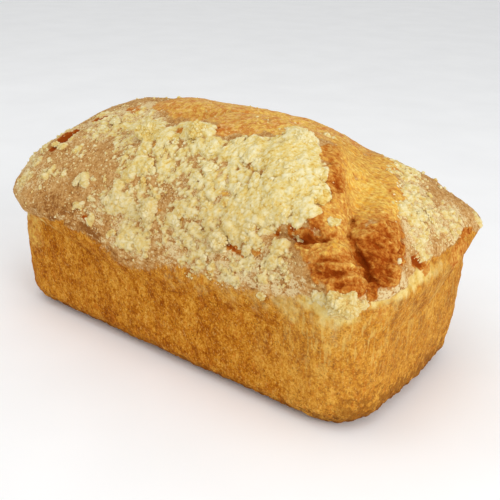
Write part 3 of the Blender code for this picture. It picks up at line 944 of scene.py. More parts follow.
@dataclass(frozen=True)
class CrustRelief:
    """Relief that the loaf's solid carries, written in millimetres."""

    # places along each line, with its half width and height there
    lines: tuple[tuple[Row, ...], ...] = (
        # crack
        ((52, 30, 96, 11, -2.2), (66, 6, 96, 11, -3.6), (76, -12, 91, 8.5, -5),
         (82, -29, 86, 5, -4.8), (85, -37, 80, 3, -4.2), (90, -38.5, 75, 3, -4.4),
         (96, -41, 69, 3.6, -4), (101, -43, 64, 4.5, -2.6)),
        # fold over the lobe, hollow in the lobe, groove of the front
        ((52, -44, 76, 1.8, -1.2), (65, -44.5, 75.5, 2.2, -2.2), (76, -42.5, 77.5, 2.8, -3),
         (83, -40, 78, 2, -1.8)),
        ((80, -48.5, 69, 2.6, -1.8), (89, -48, 67, 2.6, -1.6)),
        ((41, -48, 69, 2, -1.4), (50, -49, 65, 2, -1.4)),
        # notch of the right end, ridges beside the crack, tear of the left end
        ((99, -25, 70, 2.2, -2.6), (103.5, -23, 65, 2.6, -3)),
        ((58, -6, 101, 5, 2), (67, -20, 95, 4.5, 2.6), (75, -27, 89, 3.5, 2.2)),
        ((101, -40, 64, 3, 2.2), (101.5, -31, 68, 3.2, 2.6), (101.5, -25, 71, 2.5, 1.4)),
        ((-80, -34, 80, 2.4, -1), (-79.5, -28, 83.5, 3, -2), (-78.5, -19, 86.5, 2.4, -1.2)))
    # middle, radius and height of each
    swellings: tuple[Row, ...] = (
        (93.5, -26.5, 77, 10.5, 4.6), (80, -47.5, 71.5, 10, 3.4), (90, -49, 66, 6, 2.2),
        (72, -44, 80, 6, 1.4), (48, -15, 101, 7, 1.6), (56, -33, 90, 16, 2.2),
        (-22, -26, 94, 13, 1.4), (4, -25, 98, 11, 1.6), (-45, 26, 90, 20, 1.6),
        (35, 33, 90, 18, 1.6), (100, 8, 74, 14, 1.0))
    # middle, reach along each axis and share of each patch
    crumble: tuple[Row, ...] = (
        (57, -36, 88, 18, 10, 11, 1), (51, -24, 99, 14, 9, 6, 1), (33, -26, 97, 15, 7, 7, 0.85),
        (47, -16, 103, 8, 5, 4, 1), (5, -25, 99, 13, 9, 6, 1), (-10, -27, 95, 13, 7, 6, 0.95),
        (-30, -15, 95, 13, 9, 5, 0.75), (-17, -38, 83, 8, 5, 6, 0.9),
        (-24, -43, 74, 7, 4, 8, 0.9), (-28, -46, 68, 5, 4, 5, 0.8), (-6, -45, 70, 5, 4, 8, 0.8),
        (-2, -48, 64, 4, 3, 5, 0.7), (-12, -52, 54, 13, 6, 5, 0.6),
        (42, -45, 76, 12, 5, 7, 0.78), (38, -41, 84, 9, 6, 7, 0.75), (38, -48, 68, 5, 4, 4, 0.9),
        (61, -48, 70, 5, 4, 4, 0.85), (94, -9, 84, 7, 6, 5, 0.6), (98, 2, 79, 7, 6, 4, 0.65),
        (-46, -45, 73, 4, 3, 4, 0.8), (-64, -15, 92, 14, 9, 5, 0.5),
        (-78, -27, 84, 10, 8, 6, 0.5), (22, -46, 72, 14, 5, 9, 0.58),
        (18, -36, 88, 14, 7, 7, 0.55), (36, -51, 60, 30, 5, 7, 0.45),
        (-30, 40, 78, 50, 16, 16, 0.4), (45, 42, 76, 34, 14, 14, 0.45))
    patch_edge: float = 0.7  # how steeply the crumble's patches end
    swell: Row = (0.7, 22)  # height and size
    crags: Row = (0.8, 6.5)  # height and size of those round the knob
    crag_spot: Row = (86, -36, 77, 24)  # where they are, and how far they reach
    bed: Row = (1.0, 1.1, 6.0)  # height of the crumble, and of its swells; size
    wander: Row = (1.2, 9)  # how far lines of relief wander, and size
    fade: Row = (0.0122, 0.02)  # metres up at which it starts, and how soon it is full

    def cover(self, points: Points) -> Values:
        """Share of the crust that the solid's crumble covers.

        Args:
            points: Points in metres.

        Returns:
            One share for each point.
        """
        cover = np.zeros(len(points))
        for x, y, z, rx, ry, rz, share in self.crumble:
            away = (((points / MM - (x, y, z)) / (rx, ry, rz)) ** 2).sum(axis=1)
            cover = np.maximum(cover, share * np.exp(-self.patch_edge * away ** 2))
        return cover

    def warped(self, points: Points) -> Points:
        """The points, moved a little so that lines of relief wander."""
        amount, size = self.wander
        return points + amount * MM * drift_field(points, size * MM, (1, 2, 3))

    def height(self, points: Points) -> Values:
        """Height of the relief over the smooth form.

        Args:
            points: Points of the form, in metres.

        Returns:
            One height for each point, in metres.
        """
        moved = self.warped(points)
        relief = self.swell[0] * MM * noise_field(points, self.swell[1] * MM, 4)
        for line in self.lines:
            relief += line_field(moved, line)
        for x, y, z, radius, height in self.swellings:
            away = np.linalg.norm(moved / MM - (x, y, z), axis=1)
            relief += height * MM * np.exp(-(away / radius) ** 2)
        away = np.linalg.norm(points / MM - self.crag_spot[:3], axis=1) / self.crag_spot[3]
        relief += (self.crags[0] * MM * np.exp(-away ** 4)
                   * noise_field(points, self.crags[1] * MM, 5))
        relief += self.cover(points) * MM * (
            self.bed[0] + self.bed[1] * noise_field(points, self.bed[2] * MM, 6))
        return relief * np.clip((points[:, 2] - self.fade[0]) / self.fade[1], 0, 1)


@dataclass(frozen=True)
class CrustMap:
    """Where each kind of crust lies: places in millimetres, each with a radius and a share."""

    # the crust's lower edge round the plan: degrees from +X, height and width of its border
    edge: tuple[Row, ...] = (
        (-180, 51, 1.2), (-150, 50, 0.9), (-128, 50, 0.9), (-120, 54, 1.0), (-112, 52, 2.0),
        (-108, 50, 2.4), (-103, 47, 3.0), (-100, 44, 3.5), (-96, 44, 3.5), (-90, 46, 4.0),
        (-85, 51, 4.5), (-79, 53, 4.0), (-66, 53, 3.5), (-57, 55, 2.5), (-52, 59, 1.5),
        (-47, 62, 1.0), (-40, 60, 1.0), (-36, 61, 0.8), (-32, 62.5, 0.8), (-25, 64, 0.7),
        (-19, 67.5, 0.7), (-6, 67, 0.7), (3, 67.5, 0.7), (10, 67.5, 0.7), (17, 69, 0.8),
        (24, 69.5, 0.8), (29, 68, 0.8), (35, 66, 1.0), (50, 60, 2.0), (90, 54, 3.0),
        (140, 53, 2.0), (180, 51, 1.2))
    crumble: tuple[Row, ...] = (
        # main bed, from the crest down to the fold
        (42, -10, 105, 4, 0.9), (48, -15, 103, 6, 1), (53, -20, 101, 7, 1), (44, -23, 101, 7, 1),
        (34, -26, 99, 6, 0.9), (58, -25, 99, 6, 1), (64, -27, 96, 4.5, 1), (56, -31, 96, 7, 1),
        (62, -34, 93, 7, 1), (68, -33, 91, 4, 1), (49, -31, 96, 6, 1), (55, -38, 90, 8, 1),
        (65, -39, 87, 6, 1), (70, -38, 86, 3.5, 1), (58, -42, 84, 6, 1), (65, -42, 82, 3.5, 0.9),
        (48, -39, 88, 7, 0.95), (48, -43, 81, 7, 1), (40, -42, 83, 6, 0.9), (36, -42, 80, 5, 0.85),
        (34, -37, 89, 6, 0.8), (40, -30, 96, 5, 0.75), (44, -45, 76, 5, 0.9),
        (37, -45, 75, 5, 0.9),
        (54, -44, 78, 3.5, 0.7), (49, -47, 72, 3.2, 0.8), (62, -47, 71, 3.5, 0.85),
        (84, -52.5, 60, 3, 0.9), (98, -45.5, 58.5, 3, 0.75), (79, -53, 58, 2, 0.6),
        (40, -46, 71, 4, 0.8), (66, -44, 77, 2.4, 0.6),
        # speckled slope left of it
        (28, -32, 92, 5, 0.58), (24, -28, 97, 6, 0.72), (14, -29, 96, 6, 0.74),
        (5, -29, 96, 5, 0.72), (32, -25, 100, 5, 0.8), (19, -36, 89, 5, 0.5),
        (28, -38, 86, 5, 0.6), (22, -41, 82, 5, 0.62), (26, -45, 75, 5, 0.78),
        (15, -44, 76, 5, 0.6), (8, -46, 70, 4.5, 0.8), (18, -49, 64, 3, 0.8),
        (33, -48, 69, 3.6, 0.7), (10, -34, 89, 5, 0.5), (22, -48, 68, 4, 0.55),
        (30, -44, 78, 4, 0.6),
        # beds of the left half
        (8, -23, 101, 4.5, 1), (2, -22, 101, 5, 1), (-4, -23, 99, 4.5, 1), (-14, -26, 95, 5.5, 1),
        (-24, -24, 95, 6, 1), (-32, -18, 94, 6, 1), (-38, -13, 94, 5, 0.95),
        (-28, -12, 97, 4, 0.8),
        (-10, -19, 100, 3.5, 0.8), (-22, -33, 89, 4.5, 0.85), (-14, -31, 92, 4.5, 0.7),
        (-8, -35, 86, 4, 0.7), (-19, -37, 84, 4.5, 0.95), (-24, -40, 79, 4, 0.95),
        (-27, -43, 75, 4, 0.85), (-24, -47, 68, 4.5, 0.95), (-19, -46, 71, 3.6, 0.8),
        (-15, -48, 66, 3.6, 0.62), (-6, -43, 76, 3, 0.85), (-6, -45, 71, 3.4, 0.95),
        (-5, -48, 65, 3.2, 0.9), (-10, -45, 72, 2.6, 0.7), (-29, -48, 66, 3, 0.7),
        (-17, -52, 55, 3.6, 0.85), (-12, -52, 56, 3.2, 0.8), (-5, -52, 56, 3.6, 0.65),
        (-48, -43, 74, 2.6, 0.9), (-46, -45, 71, 2.2, 0.85), (-73, -46, 70, 2.4, 0.85),
        (-62, -45, 72, 1.8, 0.5), (-75, -33, 81, 3, 0.55), (-65, -33, 83, 3, 0.55),
        (-47, -50, 63, 2.4, 0.7), (-38, -51, 58, 2.6, 0.6), (-88, -48, 66, 4, 0.5),
        # right end
        (92, -11, 85, 4, 0.66), (97, -10, 81, 4, 0.58), (88, 0, 86, 2.6, 0.6),
        (96, 3, 81, 3.5, 0.5), (80, 14, 88, 2.4, 0.85), (101, -14, 75, 3.5, 0.5),
        (104, 14, 72, 4, 0.5), (105.5, 33, 70, 3, 0.8),
        # back, and the crest beside the crack's end
        (-50, 34, 84, 10, 0.52), (-20, 40, 80, 12, 0.5), (10, 42, 78, 10, 0.5),
        (40, 40, 80, 12, 0.52), (66, 38, 78, 8, 0.48), (-80, 30, 78, 8, 0.45),
        (45, 9.5, 99.5, 1.6, 0.75), (48.5, 11, 98, 1.8, 0.8), (51, 11.5, 97, 1.4, 0.7),
        # flecks strewn over the tan crust
        (-4, -34, 89, 12, 0.42), (14, -38, 86, 13, 0.38), (28, -36, 89, 11, 0.42),
        (12, -47, 68, 12, 0.42), (30, -48, 68, 12, 0.44), (48, -49, 65, 10, 0.42),
        (62, -50, 65, 8, 0.44), (22, -51, 60, 9, 0.42), (42, -52, 59, 9, 0.40),
        (-14, -47, 69, 11, 0.44), (-10, -51, 58, 9, 0.46), (-30, -36, 83, 10, 0.38),
        (-34, -46, 70, 9, 0.32), (-40, -26, 90, 10, 0.36), (-50, -10, 95, 11, 0.42),
        (-62, -18, 91, 11, 0.38), (-72, -8, 90, 9, 0.36), (-60, -36, 81, 12, 0.20),
        (-80, -24, 83, 9, 0.34), (-90, -34, 74, 9, 0.30), (-88, -44, 68, 8, 0.28),
        (-72, -44, 72, 8, 0.26), (95, -4, 81, 10, 0.42), (100, 6, 77, 9, 0.38),
        (-41, -11, 94, 8, 0.50), (-52, -16, 92, 7, 0.44), (101, 16, 76, 7, 0.40),
        (102, -14, 74, 7, 0.36), (88, 8, 85, 9, 0.42), (76, 20, 88, 9, 0.42))
    pits: tuple[Row, ...] = (
        # tears of the left end
        (-82.5, -33, 79.5, 3.2, 1), (-82, -29.5, 82, 4.0, 1), (-81, -25, 84, 3.6, 1),
        (-79.5, -20.5, 86, 2.8, 1), (-75, -11.5, 89.5, 2.6, 1), (-71, -10, 91.5, 2.4, 1),
        # gaps in the crumble
        (45, -33, 94, 1.6, 1), (58, -23.5, 99, 1.7, 1), (43, -22, 102, 1.5, 1),
        (38, -33, 93.5, 2.0, 1), (47, -35, 92, 1.1, 0.9), (35, -31, 95, 1.8, 0.9),
        (50, -46, 76, 1.8, 1), (63, -41, 84, 1.4, 0.8), (41, -38, 89, 1.8, 0.9),
        (31, -24, 101, 1.4, 0.8), (52, -30, 97, 1.2, 0.7), (30, -40, 83, 1.6, 0.7),
        (12, -20.5, 102.5, 3.6, 1), (8.5, -21.5, 102.5, 2.2, 0.9),
        (33, -48, 68, 1.3, 0.9), (37, -48.2, 67.5, 1.4, 0.9), (40, -49, 66.8, 1.5, 0.9),
        (43, -49, 66, 1.5, 0.9), (46, -49, 65, 1.3, 0.8), (58, -43, 75.3, 1.3, 0.9),
        (61, -43.2, 74.4, 1.3, 0.9),
        (66, -26, 96, 1.2, 0.8), (-9, -22, 98, 2.6, 0.8), (-1, -27, 97, 1.6, 0.7),
        (-18, -30, 92, 2.0, 0.8), (-2, -46, 70, 1.5, 0.9), (-20, -44, 73, 1.6, 0.8),
        (12, -46, 70, 1.5, 0.9), (4, -24, 100, 1.2, 0.6), (54, -42, 85, 1.2, 0.6))
    golden: tuple[Row, ...] = (
        (-44, 6, 98, 8, 0.75), (-30, 7, 101, 11, 1), (-10, 8, 103, 17, 1), (12, 10, 104, 19, 1),
        (32, 8, 104, 17, 1), (50, 6, 101, 12, 1), (-8, -8, 102, 6, 0.7), (5, -8, 104, 8, 0.9),
        (20, -6, 105, 8, 0.9), (35, -5, 105, 8, 0.9), (14, -17, 103, 6.5, 1), (25, -15, 104, 6, 1),
        (35, -13, 105, 5, 0.9), (45, 22, 98, 14, 1), (20, 28, 99, 14, 1), (-10, 26, 98, 14, 0.9),
        (66, 22, 91, 9, 0.7), (-27, -8, 98, 4, 0.6), (-58, 0, 95, 5, 0.6))
    torn: tuple[Row, ...] = (
        (56, 10, 98, 9, 1), (66, 0, 95, 11, 1), (75, 2, 90, 9, 1), (83, -4, 88, 8, 1),
        (78, -12, 88, 9, 1), (86, -14, 87, 7, 1), (70, -18, 94, 8, 1), (61, -13, 100, 6, 1),
        (56, -17, 101, 3.5, 0.9), (72, -26, 92, 5, 1), (78, -21, 84, 8, 1), (88, -20, 85, 7, 1),
        (76, -32, 87, 6, 1), (73, -38, 84, 4.5, 1), (80, -31, 82, 7, 1), (80, -38, 81, 6, 1),
        (94, -24, 82, 6.5, 1), (95, -31, 79, 8, 1), (100, -28, 74, 5.5, 1), (88, -35, 75, 8, 1),
        (96, -38, 69, 6.5, 1), (99.5, -36, 68, 4.5, 1), (84, -44, 76, 7, 1), (76, -46, 76, 6, 1),
        (70, -45, 77, 5, 1), (65, -43.5, 78, 3.2, 1), (88, -47, 69, 6.5, 1), (83, -49, 70, 5.5, 1),
        (92, -45, 67, 6, 1), (88, -50, 66, 4, 0.9), (68, 16, 92, 8, 0.8),
        (98, -42, 63, 3, 1))
    bare: tuple[Row, ...] = (  # other baked places: dark tears, pits, pale orange wall
        (-62, -1.5, 95.5, 1.8, 0.9), (-10, -21, 99, 2.4, 0.9), (103, -19.5, 69.5, 2.4, 1),
        (104.5, -16.5, 67, 2.0, 1), (106.5, 16, 68, 2.0, 0.9), (106.3, 20, 68.5, 2.0, 0.9),
        (106.3, 24, 68.5, 1.8, 0.9), (107.5, 10, 64.5, 3.0, 0.9), (107.6, 15, 65, 3.0, 0.9),
        (41, -48, 68, 1.8, 0.9), (46, -49, 66.5, 1.6, 0.9), (52, -48, 68, 2.4, 0.8),
        (58, -44, 76, 2.0, 0.8), (-41, -52, 59, 1.3, 1), (-28, -49, 64, 1.3, 0.8),
        (-30, -43, 74, 1.5, 0.7), (108, 8, 61, 4.5, 0.8), (108, 17, 61, 5, 0.8),
        (106, -14, 65, 3.0, 0.8), (98, -43, 58, 2.5, 0.7), (101, -38, 54, 4, 0.5),
        (-84, -48, 40, 12, 0.55), (-78, -51, 48, 4, 0.6), (-66, -53, 52, 3, 0.6))
    # how dark the baked places are, 0 to 1, as a blend of what the places near a point say
    bake: tuple[Row, ...] = (
        # golden crest
        (-44, 6, 98, 8, 0.54), (-25, 6, 101, 12, 0.44), (0, 10, 104, 16, 0.40),
        (16, -17, 103, 6, 0.44), (34, -12, 105, 7, 0.38), (30, 12, 104, 14, 0.40),
        (50, 6, 101, 8, 0.46), (45, 25, 96, 12, 0.46), (56, 12, 97, 8, 0.42),
        (12, -20.5, 102.5, 4, 0.78),
        # crack, from the crest down
        (66, 2, 95, 8, 0.32), (70, -4, 93, 6, 0.26), (76, 3, 90, 6, 0.30), (80, -7, 88, 6, 0.20),
        (85, -12, 88, 5, 0.28), (76, -13, 88, 5, 0.22), (86, 0, 87, 4, 0.56),
        (79, 12, 89, 6, 0.52),
        (68, 16, 92, 7, 0.46), (61, -11, 101, 4, 0.55), (56, -17, 101, 3.5, 0.64),
        (64, -17, 99, 4, 0.58), (68, -21, 97, 4, 0.60), (71, -24, 94, 3.2, 0.72),
        (73, -28, 91, 3, 0.68), (75, -20, 91, 3.5, 0.42), (77, -28, 88, 3.5, 0.48),
        (78, -20, 84, 4.5, 0.28), (83, -22, 84, 4, 0.36), (81, -27, 82, 3, 0.48),
        (88, -19, 85, 4.5, 0.38), (76, -33, 87, 4, 0.46), (71, -38, 85, 2.6, 0.66),
        (80, -37, 82, 3.5, 0.42), (86.5, -31, 80, 2.4, 0.34),
        # fold and lobe; the darkest, under the fold and along the lobe's lower rim, are red-brown
        # crust and painted shade
        (73, -41, 80, 2.6, 0.90), (66, -43, 78, 2.6, 0.84), (72, -43.5, 77.5, 2.6, 0.88),
        (78, -42, 79, 2.6, 0.80), (76, -47, 76, 3.2, 0.50), (84, -44, 76, 3.5, 0.44),
        (70, -47, 73, 2.6, 0.56), (87, -41, 75, 2.6, 0.52), (80, -48, 72, 2.6, 0.60),
        (78, -50, 69, 2.2, 0.82), (83, -49, 69, 2.6, 0.84), (88, -48, 68, 2.2, 0.88),
        (89, -44, 71, 2.6, 0.56), (93, -44, 68, 2.4, 0.64), (86, -51, 65, 2.6, 0.62),
        (93, -47, 65, 2.2, 0.84), (80, -52, 64, 3, 0.62),
        # groove and ball; the darkest, in the groove, are red-brown crust and painted shade
        (87, -34, 75, 2.4, 0.82), (91, -37, 72, 2.6, 1.02), (94, -39, 69, 2.6, 0.96),
        (97, -38, 67, 3, 0.86), (100, -40, 64, 3, 0.80), (98, -36, 70, 2.6, 0.86),
        (90, -28, 81, 3.5, 0.60), (94, -24, 82, 3.5, 0.70), (96, -31, 79, 3.5, 0.80),
        (93, -33, 76, 3, 0.76), (99, -27, 76, 3.5, 0.72), (98, -33, 74, 2.8, 0.80),
        (101, -31, 70, 2.8, 0.72), (103, -32, 67, 2.6, 0.66), (97, -20, 80, 2.6, 0.64),
        # other bare places
        (-82, -28, 82.5, 6, 0.84), (-73, -11, 91, 4, 0.74), (-62, -1.5, 95.5, 3, 0.72),
        (-10, -21, 99, 2.4, 0.66), (103, -20, 70, 2.4, 0.92), (105, -15.5, 66.5, 2, 0.55),
        (106.5, 20, 69.5, 4, 0.80), (107.5, 14, 65, 4, 0.50),
        (45, -49, 67, 2.4, 0.66), (58, -44, 76, 2, 0.80), (35, -48, 68, 2.2, 0.62),
        (40, -49, 66.8, 2.2, 0.62), (61, -43.5, 74.5, 2, 0.80), (9.3, -20.5, 102.8, 1.5, 0.95),
        (-41, -52, 59, 1.3, 1.0), (-29, -46, 69, 2.5, 0.84), (108, 12, 60, 6, 0.46),
        (106, -14, 65, 2.6, 0.54), (99, -42, 56, 3, 0.42), (108, 16, 60, 5, 0.42),
        (-84, -48, 40, 12, 0.40), (-72, -52, 50, 5, 0.34))
    flour: tuple[Row, ...] = (
        (-97, -36, 69, 9, 0.9), (-88, -49, 64, 6, 0.9), (-95, -15, 76, 12, 0.9),
        (-80, -28, 83, 7, 0.9), (-60, -22, 89, 8, 0.8), (-68, -10, 92, 9, 1),
        (-50, -6, 95, 8, 0.9),
        (-76, -46, 69, 7, 0.5), (92, -10, 85, 8, 1), (100, -12, 77, 7, 1), (97, 4, 80, 8, 1),
        (102, 17, 75, 7, 1), (-75, -14, 89, 6, 1), (-66, -5, 93.5, 6, 1), (-55, 0, 96, 7, 1),
        (-84, -21, 83, 6, 1), (-42, -10, 94, 9, 1), (-36, -22, 91, 8, 0.8),
        (86, 12, 86, 8, 0.9), (103, -24, 72, 3.5, 0.8), (106, 12, 71, 7, 0.9),
        (72, 24, 90, 8, 0.7),
        (104, -30, 64, 3.5, 0.9), (103, -34, 65, 4, 1), (101, -39, 62, 3, 0.9),
        (12, -52, 57, 6, 0.6), (25, -52, 58, 7, 0.7), (38, -52, 60, 7, 0.7),
        (50, -52, 61, 7, 0.7), (62, -52, 60, 7, 0.7), (73, -53, 59, 6, 0.7), (-6, -52, 56, 6, 0.7),
        (56, -50, 66, 5, 0.7), (26, -49, 65, 8, 0.6), (-36, -50, 61, 6, 0.5),
        (-20, -50, 61, 6, 0.7),
        (10, -42, 78, 9, 0.4), (24, -40, 82, 9, 0.6), (-84, 20, 80, 20, 0.6),
        (0, 46, 72, 60, 0.35))
    dusky: tuple[Row, ...] = (
        (-62, -53, 58, 7, 0.8), (-52, -53, 57, 6, 1), (-44, -53, 55, 6, 1), (-34, -53, 51, 6, 1),
        (-24, -53, 47, 5, 0.9), (-74, -52, 56, 6, 0.4), (-3, -41, 78, 6, 0.4),
        (80, -52, 61, 6, 0.4))
    cream: tuple[Row, ...] = (
        (86, -52, 57, 5.5, 1), (92, -49, 56, 6, 1), (79, -53, 57.5, 4, 0.70),
        (87, -52, 53, 8, 0.50), (88, -50, 48, 11, 0.26),
        (97, -45, 59, 4, 0.60), (100, -41, 60.5, 4, 0.85),
        (102, -37, 61.5, 3.6, 0.85), (104, -33, 62, 3.6, 0.85), (104.5, -30, 62.5, 3.6, 0.85),
        (105, -27, 62.5, 3.6, 0.85), (105.5, -23, 63, 3.6, 0.85), (106, -19, 63.5, 3.6, 0.85),
        (106.5, -15, 63.5, 3.6, 0.75), (107, -11, 63, 3.6, 0.6), (107.5, -6, 62.5, 4, 0.45),
        (108, -1, 61, 5, 0.30), (104, -34, 55, 6, 0.25), (14, -53, 47, 8, 0.25),
        (28, -53, 49, 8, 0.28), (42, -53, 50, 8, 0.32), (56, -53, 51, 7, 0.34),
        (70, -53, 53, 7, 0.5), (-88, -46, 47.5, 2.6, 0.9), (-80, -49.5, 48, 2.6, 0.9),
        (-72, -51.5, 48.5, 2.4, 0.7), (-64, -52.5, 48, 2.4, 0.5), (108, 2, 50, 8, 0.3))
    # ragged outlines as layers of noise, each with its height, size in metres and seed
    ragged_edge: tuple[Row, ...] = ((1.6, 0.007, 41), (1.0, 0.0028, 42))
    ragged_beds: tuple[Row, ...] = ((0.34, 0.0040, 51), (0.34, 0.0018, 52))
    bed_gain: Row = (1.15, -0.06)  # of the crumble's shares: times, and added
    bed_foot: Row = (-8.0, -2.0)  # over the crust's edge: no crumble, all of it
    bake_range: Row = (0.10, 0.84)  # what a bake of 0 becomes, and what 1 adds

    def above(self, points: Points, theta: Values) -> tuple[Values, Values]:
        """Height over the crust's lower edge.

        Args:
            points: Points of the form, in metres.
            theta: Angle of each round the plan, in radians.

        Returns:
            The height and the width of the edge's border, in millimetres.
        """
        degrees, heights, soft = zip(*self.edge)
        edge = np.interp(np.degrees(theta), degrees, heights)
        ragged = noise_sum(points, self.ragged_edge)
        return points[:, 2] / MM - edge + ragged, np.interp(np.degrees(theta), degrees, soft)

    def fields(self, points: Points, theta: Values) -> tuple[dict[Mask, Values], Values]:
        """Everything that the map tells about each point.

        Args:
            points: Points of the form, in metres.
            theta: Angle of each round the plan, in radians.

        Returns:
            The loaf's masks but the fine relief's, and the height over the crust's edge.
        """
        moved = points + MM * (1.5 * drift_field(points, 0.005, (31, 32, 33))
                               + 0.8 * drift_field(points, 0.002, (34, 35, 36)))
        above, soft = self.above(points, theta)
        pits, torn, golden = (spot_field(moved, spots)
                              for spots in (self.pits, self.torn, self.golden))
        crumbs = spot_field(moved, self.crumble)
        ragged = noise_sum(points, self.ragged_beds) * (crumbs > 0.02)
        crumbs = np.clip(crumbs * self.bed_gain[0] + ragged + self.bed_gain[1], 0, 1)
        crumbs *= (1 - pits) * smooth_step(above, *self.bed_foot)
        lightest, more = self.bake_range
        masks = {Mask.EDGE: above / soft, Mask.CRUMBLE: crumbs, Mask.TORN: torn,
                 Mask.BAKED: np.maximum.reduce((torn, golden, spot_field(moved, self.bare),
                                                pits)),
                 Mask.BAKE: lightest + more * blend_field(moved, self.bake),
                 Mask.GLOSS: golden * (1 - torn),
                 Mask.FLOUR: spot_field(moved, self.flour),
                 Mask.DUSKY: spot_field(moved, self.dusky),
                 Mask.CREAM: spot_field(moved, self.cream)}
        return masks, above


